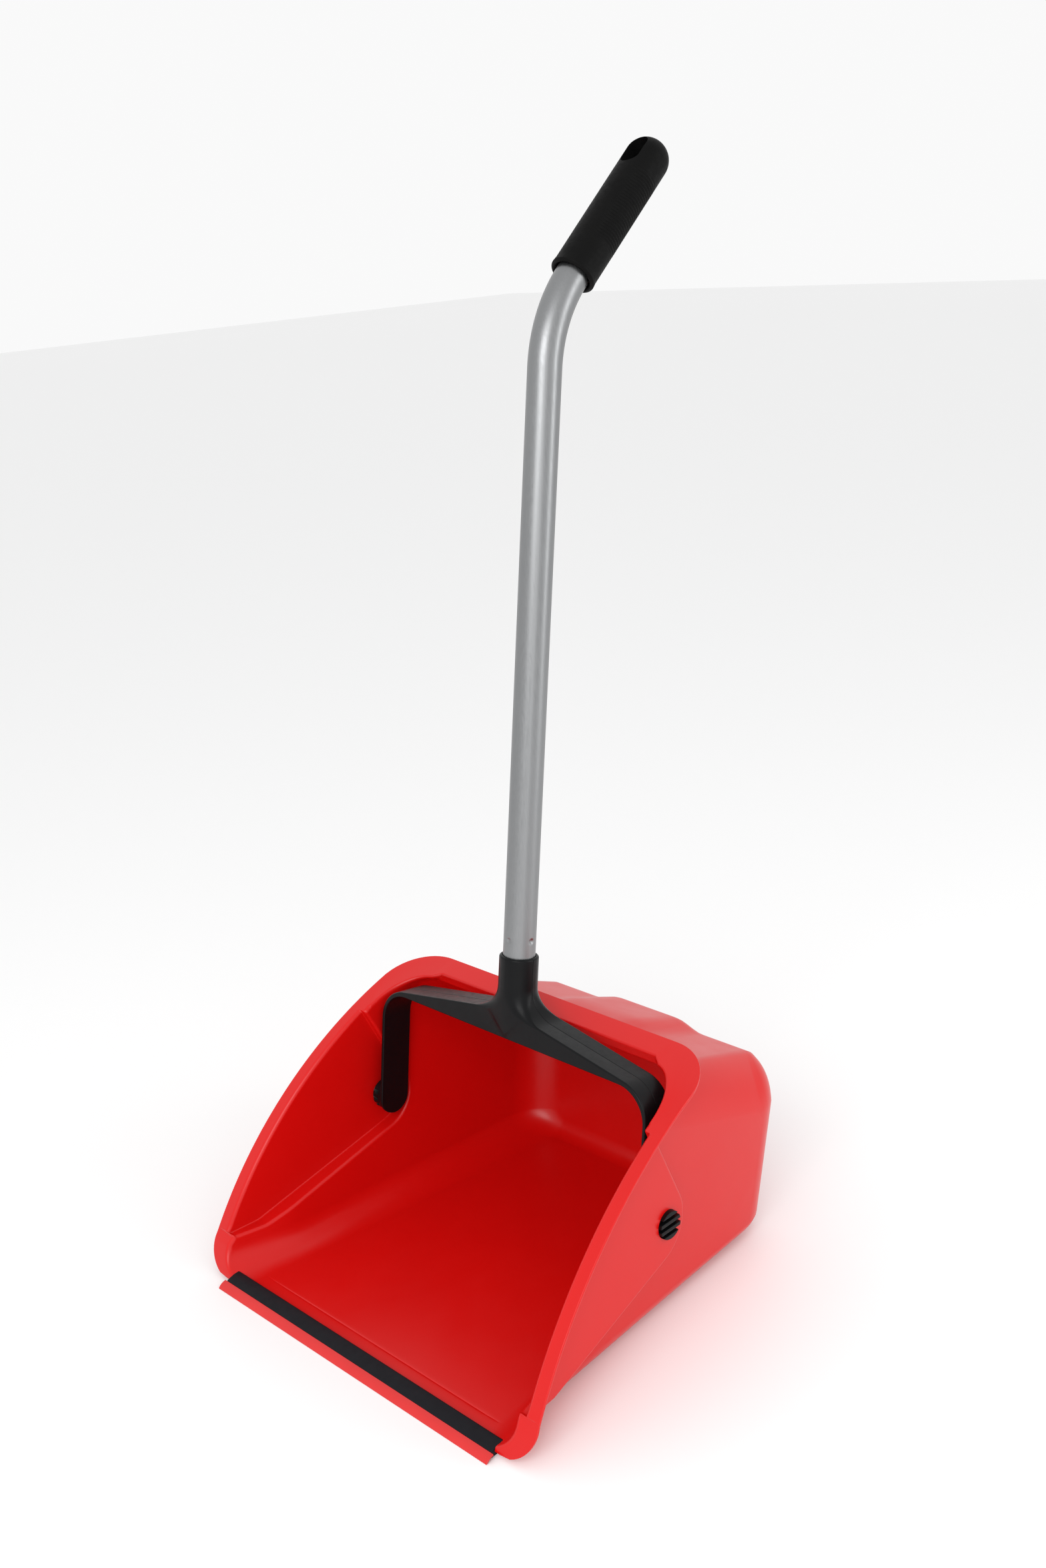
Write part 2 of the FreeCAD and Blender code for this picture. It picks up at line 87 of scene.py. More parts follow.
FOOT_ROUND_X, FOOT_ROUND_Z = 20.0, 22.0  # floor-to-wall rounding at the mouth
BACK_ROUND, BACK_ROUND_FLOOR, BACK_ROUND_ROOF = 30.0, 15.0, 16.0
CORNER_X, CORNER_FLOOR, CORNER_ROOF = 33.0, 18.0, 27.0
FLANGE_HALF, FLANGE_SPREAD, FLANGE_TOP_Y = 167.7, 0.079, 61.5
FLANGE_CORNER, FLANGE_EASE = 44.0, 0.9
FOOT_HALF, FOOT_Z = 181.2, 2.0
TAB_X, TAB_Z, TAB_EASE = 29.0, 23.0, 0.8
FOLD_INSIDE, FOLD_OUTSIDE, FOLD_MOST, EDGE_ROUND = 3.4, 1.4, 0.4, 0.7
GUIDE, GUIDE_PAST = 10.0, 1.0  # where a rim column aims: inwards, past the riser
NOTCH_STEP = 1.0  # the hood's side starts behind the notch
FLOOR_FRONT, FRONT_STEPS = -176.0, (0, 1, 2)  # a hidden rim column's places, from the front
HOLE_R = 11.1
GROOVE_Y, GROOVE_WIDTH, GROOVE_DEEP = -154.5, 0.7, 0.4
CREST, CREST_FLAT, CREST_END = 7.0, 30.0, 57.0  # raised middle of the roof's back edge
CREST_FRONT, CREST_FOOT, CREST_RUN = 62.0, 70.0, 60.0

# ---- the lip's driving sizes

GROUND_GAP, JAW, JAW_GAP, CLIP_EDGE = 0.02, 0.8, 0.05, 0.3
CLIP_TOP = ((0.2, -0.5), (-0.6, 0.0), (-6.0, -0.4))  # (y, z) from the clip's back upper edge
CLIP_NOSE = ((1.4, 0.6), (0.3, -0.2), (0.1, -1.3))  # (y, z) from its front, at the blade's top
BLADE_THICK, BLADE_EDGE = 1.2, 0.2
BLADE_ROOT, BLADE_SHOULDER, BLADE_TIP = (0.3, -0.1), (2.4, -0.3), (0.1, 0.15)  # from its box's sides

# ---- the handle's driving sizes

LEAN = math.radians(9)
YOKE_HALF, STRAP, YOKE_DEPTH, YOKE_EDGE, YOKE_CORNER = 143.8, 3.2, 14.5, 1.3, 28.0
EDGE_OF_WIDTH, EDGE_OF_DEPTH = 0.98, 0.96  # the most of a section that its rounded edge takes
INNER_EDGE, INNER_OF_DEPTH = 0.6 * YOKE_EDGE, 0.9
ARM_ROUND, ARM_END, ARM_TOP, ARM_SPACING = 14.5, 0.02, 60.0, 1.6  # the arm's round end, its rows
PARTING_WIDTH, PARTING_DEEP, PARTING_MOST = 0.45, 0.3, 0.9
BAR_FOOT, BAR_END, BAR_RISE = 97.6, 4.4, 9.5
COLLAR_R, COLLAR_TOP, COLLAR_EDGE, COLLAR_BLEND, COLLAR_FLAT = 15.0, 163.0, 1.6, 34.0, 0.3
BORE_GAP, BORE_EDGE, BORE_DEPTH = 0.15, 0.4, 5.0
STUD_R, STUD_ROOT, STUD_EDGE = 11.0, 148.5, 0.6
SHOULDER_R, SHOULDER_END, SHOULDER_SINK, SHOULDER_LAP = 12.9, 154.1, 0.5, 0.1
SLATS, SLAT_PITCH, SLAT_GAP, SLAT_TIP = 4, 5.8, 3.0, 0.05
TUBE_OFFSET, TUBE_FOOT, TUBE_IN_GRIP = 2.7, 112.0, 90.0
BEND_START, BEND_R, BEND = 598.0, 100.0, math.radians(40)
STRAIGHT, BEND_LENGTH = BEND_START - TUBE_FOOT, BEND_R * BEND
STAKE, DIMPLES, DIMPLE, DIMPLE_R, DIMPLE_STEEP = 176.5 - TUBE_FOOT, 4, 1.0, 1.9, 1.5
GRIP_LENGTH, GRIP_ROUND, GRIP_CLOSED = 130.0, 16.0, 0.9999
GRIP_MOUTH = ((0.1, 6.0), (0.9, 2.0), (1.4, 0.8))  # (out from the tube, along) inside the grip's foot
ROLL, ROLL_ROUND = (2.6, -0.4), 1.2  # the foot's rolled edge
BULGE, BULGE_ROUND, BULGE_END = (0.5, 1.4), 1.0, 5.0
RIB, RIB_PITCH, RIB_START, RIB_END, RIB_FADE = 0.3, 2.6, 26.0, 98.0, 6.0
FLANK, FLANK_FADE = 0.55, 0.25  # how far round the ribs reach, as a cosine
HANG_WIDTH, HANG_LENGTH, HANG_CENTRE = 15.5, 26.0, 110.5
HANG_MOUTH = ((20.0, 2.2), (GRIP_R, 1.4), (GRIP_R - 2, 0.2), (GRIP_R - 4, 0.0))  # (depth, flare)

# ---- how finely each surface is cut

FLOOR_COLUMNS, CORNER_COLUMNS, SIDE_COLUMNS, ROOF_COLUMNS, DIAGONAL_COLUMNS = 12, 14, 14, 18, 4
WING_COLUMNS, POCKET_COLUMNS, HOOD_COLUMNS, HIDDEN_COLUMNS = 72, 90, 6, 3
STATIONS, FLOOR_SPACING, FLANGE_ROWS, BACK_ROWS = 30, 1.3, 4, 5
GROOVE_STEPS = (-2, -1, -0.5, 0, 0.5, 1, 2)
FLARE_SPOTS_Y, FLARE_SPOTS_Z = (FLARE_Y - 50, FLARE_Y + 16, 6.0), (8.0, 60.0, 5.0)  # first, end, step
SPOT_GAP, SETTLE_ROUNDS, TRIANGLE_GAP = 2.0, 12, 1e-5
ARC, POCKET_ARC, KNEE_ARC, BACK_ARC, RISER_ARC, BLADE_ARC = 6, 14, 4, 8, 4, 10
FOLD_ARC, FOLD_ARC_OUTSIDE, EDGE_ARC = 7, 5, 3
ARM_ROWS, YOKE_ARC, BAR_ROWS, BLEND_ARC, CROTCH_ROWS, COLLAR_ROWS = 26, 18, 16, 16, 6, 8
SECTION_ARC, INNER_ARC, SLAT_ROWS = 8, 4, 7
TUBE_SIDES, STUD_SIDES, HANG_SIDES = 96, 48, 40
DENT_REACH, DENT_STEP, DENT_MARGIN, DENT_END, TUBE_ROWS, BEND_ROWS = 5.0, 0.5, 8.0, 20.0, 12, 24
ROLL_ARC, BULGE_ARC, RIB_STEP, GRIP_ROWS, END_ROWS = 4, 3, 0.4, 6, 14


# ---- small mesh tools

class Net:
    """Collects points and faces, and welds them into one mesh."""

    def __init__(self):
        self.points = []
        self.faces = []

    def add(self, points):
        start = len(self.points)
        self.points.extend(tuple(float(value) for value in point) for point in points)
        return list(range(start, len(self.points)))

    def grid(self, rows, closed=False):
        """Quads between rows that have the same number of points."""
        numbers = [self.add(row) for row in rows]
        for low, high in zip(numbers, numbers[1:]):
            count = len(low)
            for index in range(count if closed else count - 1):
                after = (index + 1) % count
                self.faces.append((low[index], low[after], high[after], high[index]))
        return numbers

    def solid(self, rings):
        """Closed rings joined by quads, with a face over each end."""
        numbers = self.grid(rings, closed=True)
        self.faces.extend([tuple(numbers[0]), tuple(numbers[-1])])

    def fill(self, loops, lift, spots=()):
        """Triangles inside a closed loop of flat points (a, b) and outside the other loops; lift
        gives a point its place."""
        flat, edges = [], []
        for loop in loops:
            start = len(flat)
            flat.extend(Vector(point) for point in loop)
            count = len(loop)
            edges.extend((start + index, start + (index + 1) % count) for index in range(count))
        flat.extend(Vector(point) for point in spots)
        within = 1
        points, _, faces, _, _, _ = delaunay_2d_cdt(flat, edges, [], within, TRIANGLE_GAP)
        numbers = self.add(lift(point[0], point[1]) for point in points)
        for face in faces:
            middle = sum((points[index] for index in face), Vector((0, 0))) / len(face)
            if not inside(middle, loops[1:]):
                self.faces.append(tuple(numbers[index] for index in face))

    def build(self, name, mirror=False, weld=0.001):
        """The mesh as an object; mirror adds a left half, and points nearer than weld are joined."""
        mesh = bpy.data.meshes.new(name)
        mesh.from_pydata([tuple(np.array(point) * MM) for point in self.points], [], self.faces)
        bm = bmesh.new()
        bm.from_mesh(mesh)
        if mirror:
            copied = bmesh.ops.duplicate(bm, geom=bm.verts[:] + bm.edges[:] + bm.faces[:])["geom"]
            half = [item for item in copied if isinstance(item, bmesh.types.BMVert)]
            bmesh.ops.scale(bm, vec=(-1, 1, 1), verts=half)
        bmesh.ops.remove_doubles(bm, verts=bm.verts, dist=weld * MM)
        bmesh.ops.dissolve_degenerate(bm, edges=bm.edges, dist=weld * MM)
        bmesh.ops.recalc_face_normals(bm, faces=bm.faces)
        bm.to_mesh(mesh)
        bm.free()
        return add_object(name, mesh)


def add_object(name, data):
    made = bpy.data.objects.new(name, data)
    bpy.context.scene.collection.objects.link(made)
    return made


def inside(point, loops):
    """Even-odd test of a flat point against closed loops."""
    hits = 0
    for loop in loops:
        for (ax, ay), (bx, by) in zip(loop, loop[1:] + loop[:1]):
            if (ay > point[1]) != (by > point[1]):
                hits += point[0] < ax + (point[1] - ay) / (by - ay) * (bx - ax)
    return hits % 2 == 1


def between(a, b, share):
    return np.array(a, float) * (1 - share) + np.array(b, float) * share


def run(a, b, count):
    """Points from a to b, both included, as count + 1 points."""
    return [between(a, b, index / count) for index in range(count + 1)]


def unit(v):
    v = np.array(v, float)
    return v / np.linalg.norm(v)


def corner(before, at, after, count=ARC):
    """A circular arc between two points, tangent to the lines that meet at the corner."""
    a, v, b = (np.array(point, float) for point in (before, at, after))
    turn = float(np.clip(np.dot(unit(v - a), unit(b - v)), -1, 1))
    weight = math.sqrt((1 + turn) / 2)
    arc = []
    for index in range(count + 1):
        s = index / count
        parts = ((1 - s) ** 2, 2 * s * (1 - s) * weight, s * s)
        arc.append((parts[0] * a + parts[1] * v + parts[2] * b) / sum(parts))
    return arc


def reach(before, at, after, radius, least=0.3, most=0.45):
    """How far from a corner its rounding of a radius begins, but at least least, and at most a
    share of the shorter side."""
    a, v, b = (np.array(point, float) for point in (before, at, after))
    turn = math.acos(float(np.clip(np.dot(unit(v - a), unit(b - v)), -1, 1)))
    longest = most * min(np.linalg.norm(v - a), np.linalg.norm(b - v))
    return min(max(radius * math.tan(turn / 2), least), longest)


def rounded(before, at, after, radius, count=ARC):
    """The rounding of one corner of a path, as points."""
    step = reach(before, at, after, radius)
    at = np.array(at, float)
    start = at + step * unit(np.array(before) - at)
    stop = at + step * unit(np.array(after) - at)
    return corner(start, at, stop, count)


def ease(value):
    value = min(max(value, 0.0), 1.0)
    return value * value * (3 - 2 * value)


def circle(radius, count):
    """Flat points round a circle."""
    angles = [2 * math.pi * index / count for index in range(count)]
    return [(radius * math.cos(angle), radius * math.sin(angle)) for angle in angles]


def quarter(radius, count):
    """A rounded edge in steps, as (distance in from its side face, distance in from its end face)."""
    angles = [math.pi / 2 * index / count for index in range(count + 1)]
    return [(radius * (1 - math.sin(angle)), radius * (1 - math.cos(angle))) for angle in angles]


# ---- the pan's surfaces

def flare(y):
    front = max(0.0, FLARE_Y - y)
    return FLARE * front * front / (front + FLARE_EASE)


def wall_x(y, z, out):
    return HALF - SPREAD * y + RISE * z + flare(y) + out


def wing_x(y, out):
    return WING_HALF - WING_SPREAD * y + out


def roof_z(y, out):
    return ROOF_Z - ROOF_FALL * (y - ROOF_Y) - (WALL - out) * math.hypot(1, ROOF_FALL)


def back_y(z, out):
    return BACK_Y + BACK_LEAN * z - (WALL - out) * math.hypot(1, BACK_LEAN)


def mouth(x, y, depth):
    """The point of the mouth's cylinder at a place in plan."""
    radius = MOUTH_R - depth
    return np.array((x, y, MOUTH_Z + math.sqrt(radius ** 2 - (MOUTH_Y - y) ** 2)))


def mouth_y(z, depth):
    return MOUTH_Y - math.sqrt((MOUTH_R - depth) ** 2 - (z - MOUTH_Z) ** 2)


def mouth_normal(point):
    """Out of the mouth."""
    return unit((0, point[1] - MOUTH_Y, point[2] - MOUTH_Z))


def pocket_outline(out, count):
    """The pocket's edge in side view, from the notch down and forward to the mouth, as (y, z)."""
    fall = math.tan(POCKET_SLOPE)
    slope = math.tan(LEDGE_SLOPE)
    depth = out + fold_step(out)
    low = LEDGE_Z - out
    back = NOTCH[0] + NOTCH[1] * fall + out / math.cos(POCKET_SLOPE)
    z = (low + slope * (back - KINK_Y)) / (1 + slope * fall)
    vertex = (back - z * fall, z)
    top_z = NOTCH[1]
    for _ in range(SETTLE_ROUNDS):
        top_z = mouth(0, back - top_z * fall, depth)[2]
    start, end = (back - top_z * fall, top_z), (mouth_y(low, depth), low)
    bend = rounded(start, vertex, (KINK_Y, low), POCKET_ROUND + out, POCKET_ARC)
    knee = rounded(vertex, (KINK_Y, low), end, KNEE_ROUND, KNEE_ARC)
    path = [np.array(start)] + bend + knee + [np.array(end)]
    steps = [np.linalg.norm(b - a) for a, b in zip(path, path[1:])]
    lengths = np.concatenate(([0], np.cumsum(steps)))
    places = np.linspace(0, lengths[-1], count + 1)
    across = np.interp(places, lengths, [point[0] for point in path])
    height = np.interp(places, lengths, [point[1] for point in path])
    return list(zip(across.tolist(), height.tolist()))


def fold_step(out):
    """How far below the mouth's face the rounded rim begins, on each skin."""
    return FOLD_OUTSIDE if out else FOLD_INSIDE


def flange_edge_x(y):
    return FLANGE_HALF - FLANGE_SPREAD * y


def back_ring(out):
    """Where floor, wall and roof turn into the back wall, from the middle of the floor round the
    side to the middle of the roof: the rounding's start, corner and end for each column."""
    floor_z = WALL - out
    top_z = (roof_z(0, out) - ROOF_FALL * back_y(0, out)) / (1 + ROOF_FALL * BACK_LEAN)
    lean, fall = math.atan(BACK_LEAN), math.atan(ROOF_FALL)
    floor_in = (BACK_ROUND_FLOOR + out) * math.tan((math.pi / 2 - lean) / 2)
    roof_in = (BACK_ROUND_ROOF + out) * math.tan((math.pi / 2 + lean - fall) / 2)
    side_in = BACK_ROUND + out
    to_side, to_roof = unit((SPREAD, -1, 0)), unit((0, -1, ROOF_FALL))
    up = unit((0, BACK_LEAN, 1))
    columns = []

    def side_x(z):
        return wall_x(back_y(z, out), z, out)

    def add(x, z, floor_share, side_share, roof_share):
        at = np.array((x, back_y(z, out), z))
        start = (at + np.array((0, -floor_share * floor_in, 0)) + side_share * side_in * to_side
                 + roof_share * roof_in * to_roof)
        stop = at + up * (floor_share * floor_in - roof_share * roof_in)
        stop = stop - np.array((side_share * side_in, 0, 0))
        columns.append((start, at, stop))

    foot_x, head_x = side_x(floor_z) - CORNER_X, side_x(top_z) - CORNER_X
    for index in range(FLOOR_COLUMNS):
        add(foot_x * index / FLOOR_COLUMNS, floor_z, 1, 0, 0)
    for index in range(CORNER_COLUMNS + 1):
        angle = math.pi / 2 * index / CORNER_COLUMNS
        z = floor_z + CORNER_FLOOR * (1 - math.cos(angle))
        add(side_x(z) - CORNER_X * (1 - math.sin(angle)), z, math.cos(angle), math.sin(angle), 0)
    low_z, high_z = floor_z + CORNER_FLOOR, top_z - CORNER_ROOF
    for index in range(1, SIDE_COLUMNS):
        z = low_z + (high_z - low_z) * index / SIDE_COLUMNS
        add(side_x(z), z, 0, 1, 0)
    for index in range(CORNER_COLUMNS + 1):
        angle = math.pi / 2 * index / CORNER_COLUMNS
        z = top_z - CORNER_ROOF * (1 - math.sin(angle))
        add(side_x(z) - CORNER_X * (1 - math.cos(angle)), z, 0, math.cos(angle), math.sin(angle))
    for index in range(1, ROOF_COLUMNS + 1):
        add(head_x * (1 - index / ROOF_COLUMNS), top_z, 0, 0, 1)
    return columns


def crest(point):
    """The raised middle of the roof and of the back wall's upper edge."""
    x, y, z = point
    across = 1 - ease((abs(x) - CREST_FLAT) / (CREST_END - CREST_FLAT))
    lift = CREST * across * ease((y - CREST_FRONT) / CREST_RUN) * ease((z - CREST_FOOT) / CREST_RUN)
    return np.array((x, y, z + lift))


# ---- the mouth's rim, column by column
# Each column holds the flange's edge, the corner where flange and wall meet, and the point where
# the rounded rim runs into the wall.

def floor_rim(out):
    """The floor's front edge, which the clip hides."""
    z = WALL - out
    end = foot_start(out)
    columns = []
    for index in range(FLOOR_COLUMNS):
        x = end * index / FLOOR_COLUMNS
        columns.append(tuple((x, FLOOR_FRONT + step, z) for step in FRONT_STEPS))
    return columns


def foot_start(out):
    """How far out the floor's front edge runs before it turns up into the wall."""
    z = WALL - out + FOOT_ROUND_Z
    y = mouth_y(z, out)
    return wall_x(y, z, out) - flare(y) - FOOT_ROUND_X


def foot_rim(out):
    """The rounding between floor and wall, with the flange's rounded lower tab."""
    columns = []
    floor_z = WALL - out
    for index in range(CORNER_COLUMNS + 1):
        share = index / CORNER_COLUMNS
        angle = math.pi / 2 * share
        inset = 1 - math.sin(angle)
        z = floor_z + FOOT_ROUND_Z * (1 - math.cos(angle))
        y = mouth_y(z, out)
        x = wall_x(y, z, out) - (FOOT_ROUND_X + flare(y)) * inset
        at = mouth(x, y, out)
        skin = np.array((math.sin(angle), 0, -math.cos(angle)))
        inward = -mouth_normal(at)
        inward = unit(inward - inward.dot(skin) * skin)
        tab = math.pi / 2 * share ** TAB_EASE
        edge_z = FOOT_Z + TAB_Z * (1 - math.cos(tab))
        edge = mouth(FOOT_HALF - TAB_X * (1 - math.sin(tab)), mouth_y(edge_z, out), out)
        start = at + fold_step(out) * inward
        start[0] = wall_x(start[1], start[2], out) - (FOOT_ROUND_X + flare(start[1])) * inset
        hidden = ease(1 - index / HIDDEN_COLUMNS)
        plain = [np.array((x, FLOOR_FRONT + step, floor_z)) for step in FRONT_STEPS]
        columns.append(tuple(between(full, flat, hidden)
                             for full, flat in zip((edge, at, start), plain)))
    return columns


def rim_column(start, out):
    """A column over a point of a side wall that lies where the rounded rim begins."""
    start = np.array(start, float)
    normal = mouth_normal(start)
    at = start + fold_step(out) * normal
    edge = mouth(flange_edge_x(at[1]), at[1], out)
    return edge, at, start


def wing_rim(first, last, out):
    """The wing's part of the mouth, between two points of its rounded rim, upwards."""
    columns = []
    radius = MOUTH_R - out - fold_step(out)
    low = math.atan2(first[2] - MOUTH_Z, MOUTH_Y - first[1])
    high = math.atan2(last[2] - MOUTH_Z, MOUTH_Y - last[1])
    for index in range(1, WING_COLUMNS):
        angle = low + (high - low) * index / WING_COLUMNS
        y, z = MOUTH_Y - radius * math.cos(angle), MOUTH_Z + radius * math.sin(angle)
        columns.append(rim_column((wing_x(y, out), y, z), out))
    return columns


def hood_y(out):
    """How far back the hood's front edge reaches beside the recess."""
    return HOOD_Y_OUTSIDE if out else HOOD_Y


def hood_column(edge, at, guide, step):
    """A rim column that runs into the wall or roof at a step towards a guide point, which it keeps."""
    return edge, at, at + step * unit(guide - at), guide


def hood_side(first, out):
    """The hood's side, from behind the notch up to its corner."""
    columns = []
    start_y = first[1] + NOTCH_STEP
    for index in range(1, HOOD_COLUMNS + 1):
        share = index / HOOD_COLUMNS
        y = start_y + (HOOD_CORNER_Y - start_y) * share
        at = mouth(0, y, out)
        at[0] = wall_x(y, at[2], out)
        guide = at - GUIDE * mouth_normal(at)
        guide[0] = wall_x(guide[1], guide[2], out)
        edge_y = start_y + (FLANGE_TOP_Y - FLANGE_CORNER - start_y) * share
        edge = mouth(flange_edge_x(edge_y), edge_y, out)
        columns.append(hood_column(edge, at, guide, fold_step(out)))
    return columns


def hood_corner(out):
    """The hood's corner, where the side wall's edge turns into the roof's."""
    columns = []
    top_y = hood_y(out)
    last_angle = math.acos((DIAGONAL_X - HOOD_CORNER_X) / (HALF + RISE * ROOF_Z - HOOD_CORNER_X))
    corner_y = FLANGE_TOP_Y - FLANGE_CORNER
    corner_x = flange_edge_x(corner_y) - FLANGE_CORNER
    for index in range(1, CORNER_COLUMNS + 1):
        share = index / CORNER_COLUMNS
        angle = last_angle * share
        y = HOOD_CORNER_Y + (top_y - HOOD_CORNER_Y) * math.sin(angle) / math.sin(last_angle)
        at = mouth(0, y, out)
        at[0] = HOOD_CORNER_X + (wall_x(y, at[2], out) - HOOD_CORNER_X) * math.cos(angle)
        along = np.array((-SPREAD, 1, -ROOF_FALL)) * (RECESS_Y + out + GUIDE_PAST - top_y)
        guide = at + between(-GUIDE * mouth_normal(at), along, ease(share))
        guide[0] += (wall_x(guide[1], guide[2], out) - wall_x(at[1], at[2], out)) * (1 - ease(share))
        turn = math.pi / 2 * share ** FLANGE_EASE
        edge_x = corner_x + FLANGE_CORNER * math.cos(turn)
        edge = mouth(edge_x, corner_y + FLANGE_CORNER * math.sin(turn), out)
        columns.append(hood_column(edge, at, guide, reach(edge, at, guide, fold_step(out))))
    return columns


def hood_recess(out):
    """The diagonal and the recess of the hood's front edge, inwards to the middle."""
    columns = []
    top_y, recess_y = hood_y(out), RECESS_Y + out
    guide_y = recess_y + GUIDE_PAST
    radius = fold_step(out) if out else RECESS_ROUND
    for index in range(1, ROOF_COLUMNS + 1):
        if index <= DIAGONAL_COLUMNS:
            share = index / DIAGONAL_COLUMNS
            x = DIAGONAL_X + (RECESS_HALF - DIAGONAL_X) * share
            y = top_y + (recess_y - top_y) * share
        else:
            x = RECESS_HALF * (ROOF_COLUMNS - index) / (ROOF_COLUMNS - DIAGONAL_COLUMNS)
            y = recess_y
        at = mouth(x, y, out)
        guide = np.array((x, guide_y, roof_z(guide_y, out)))
        edge = mouth(x, FLANGE_TOP_Y, out)
        columns.append(hood_column(edge, at, guide, reach(edge, at, guide, radius)))
    return columns


# ---- the pan

def step_section(place, normal, out):
    """Across the pocket's edge: from the wing, over the step's face, to the main wall."""
    y, z = place
    on_wing = (y - STEP_REACH * normal[0], z - STEP_REACH * normal[1])
    on_wall = (y + STEP_REACH * normal[0], z + STEP_REACH * normal[1])
    path = [(wing_x(on_wing[0], out), *on_wing), (wing_x(y, out), y, z),
            (wall_x(y, z, out), y, z), (wall_x(*on_wall, out), *on_wall)]
    radius = (STEP_ROUND, STEP_ROUND + WALL) if out == 0 else (STEP_ROUND + WALL, STEP_ROUND)
    return rounded(*path[:3], radius[0]) + rounded(*path[1:], radius[1])


def back_wall(net, ring, out):
    """The back wall's rounding, and the wall itself drawn in to its middle."""
    arcs = [[crest(point) for point in corner(*column, BACK_ARC)] for column in ring]
    net.grid(list(zip(*arcs)))
    middle = np.array((0, back_y(BACK_MIDDLE, out), BACK_MIDDLE))
    net.grid([[crest(between(stop, middle, step / BACK_ROWS)) for _, _, stop in ring]
              for step in range(BACK_ROWS + 1)])


def pocket_sections(out):
    """Sections across the pocket's edge, from the mouth's foot up to the notch."""
    outline = pocket_outline(out, POCKET_COLUMNS)[::-1]
    sections = []
    for index, place in enumerate(outline):
        ahead, behind = outline[min(index + 1, POCKET_COLUMNS)], outline[max(index - 1, 0)]
        along = unit(np.subtract(ahead, behind))
        sections.append(step_section(place, (along[1], -along[0]), out))
    return sections


def floor_rows(rim, ring, out):
    """The floor and its rounding into the wall, front to back, with a groove behind the clip."""
    front_y = rim[0][2][1]
    length = ring[0][0][1] - front_y
    shares = [(row / STATIONS) ** FLOOR_SPACING for row in range(STATIONS + 1)]
    shares += [(GROOVE_Y + step * GROOVE_WIDTH - front_y) / length for step in GROOVE_STEPS]
    rows = []
    for share in sorted(shares):
        points = []
        for index in range(FLOOR_COLUMNS + CORNER_COLUMNS + 1):
            up = math.sin(math.pi / 2 * max(0, index - FLOOR_COLUMNS) / CORNER_COLUMNS)
            front = np.array(rim[index][2], float)
            front[0] -= flare(front[1]) * up
            point = between(front, ring[index][0], share)
            point[0] += flare(point[1]) * up
            if out == 0 and index < FLOOR_COLUMNS:
                point[2] -= GROOVE_DEEP * math.exp(-((point[1] - GROOVE_Y) / GROOVE_WIDTH) ** 2)
            points.append(point)
        rows.append(points)
    return rows


def roof_rows(hood, ring, out):
    """The recess's riser and the roof behind it, one row for each of the hood's columns."""
    rows = []
    for (_, _, start, guide), (target, _, _) in zip(hood, ring):
        turn = rounded(start, guide, target, RISER_ROUND_OUTSIDE if out else RISER_ROUND, RISER_ARC)
        line = run(start, turn[0], 2)[:-1] + turn + run(turn[-1], target, STATIONS)[1:]
        rows.append([crest(point) for point in line])
    return rows


def clear_of(spot, loop, gap):
    return all((spot[0] - y) ** 2 + (spot[1] - z) ** 2 > gap * gap for y, z in loop)


def fill_wall(net, loop, out):
    """The side wall inside a loop of its points, with extra spots where it flares."""
    outline = [(float(y), float(z)) for _, y, z in loop]
    places = [(y, z) for y in np.arange(*FLARE_SPOTS_Y) for z in np.arange(*FLARE_SPOTS_Z)]
    spots = [place for place in places if clear_of(place, outline, SPOT_GAP) and inside(place, [outline])]
    net.fill([outline], lambda y, z: (wall_x(y, z, out), y, z), spots)


def fill_wing(net, loop, out):
    """The wing's wall inside a loop of its points, with the hole for the stud."""
    outline = [(float(y), float(z)) for _, y, z in loop]
    hole = [(y, PIVOT_Z + z) for y, z in circle(HOLE_R, STUD_SIDES)]
    net.fill([outline, hole], lambda y, z: (wing_x(y, out), y, z))


def pan_skin(net, out):
    """One skin of the pan's right half: out is 0 for the inside, WALL for the outside.
    Returns the rim's columns, each with the flange's edge, corner and start on this skin."""
    ring = back_ring(out)
    back_wall(net, ring, out)
    sections = pocket_sections(out)
    net.grid(sections)

    foot = foot_rim(out)
    wing = wing_rim(sections[0][0], sections[-1][0], out)
    hood = hood_side(sections[-1][-1], out) + hood_corner(out) + hood_recess(out)
    low_step = [rim_column(point, out) for point in reversed(sections[0])]
    high_step = [rim_column(point, out) for point in sections[-1]]
    rim = floor_rim(out) + foot + low_step + wing + high_step + [column[:3] for column in hood]

    lower = floor_rows(rim, ring, out)
    net.grid(lower)
    side_end = FLOOR_COLUMNS + CORNER_COLUMNS + SIDE_COLUMNS
    upper = roof_rows(hood[HOOD_COLUMNS - 1:], ring[side_end:], out)
    net.grid(upper)

    wall_loop = [row[-1] for row in lower]
    wall_loop += [start for start, _, _ in ring[FLOOR_COLUMNS + CORNER_COLUMNS + 1:side_end]]
    wall_loop += upper[0][::-1]
    wall_loop += [column[2] for column in hood[HOOD_COLUMNS - 2::-1]]
    wall_loop += [section[-1] for section in reversed(sections)]
    fill_wall(net, wall_loop, out)
    fill_wing(net, [section[0] for section in sections] + [column[2] for column in reversed(wing)], out)
    return rim


def rim_fold(edge, at, start, count):
    """The rounded fold between wall and flange, from the wall outwards."""
    across = np.subtract(edge, at)
    step = min(np.linalg.norm(np.subtract(at, start)), FOLD_MOST * np.linalg.norm(across))
    return corner(start, at, at + step * unit(across), count)


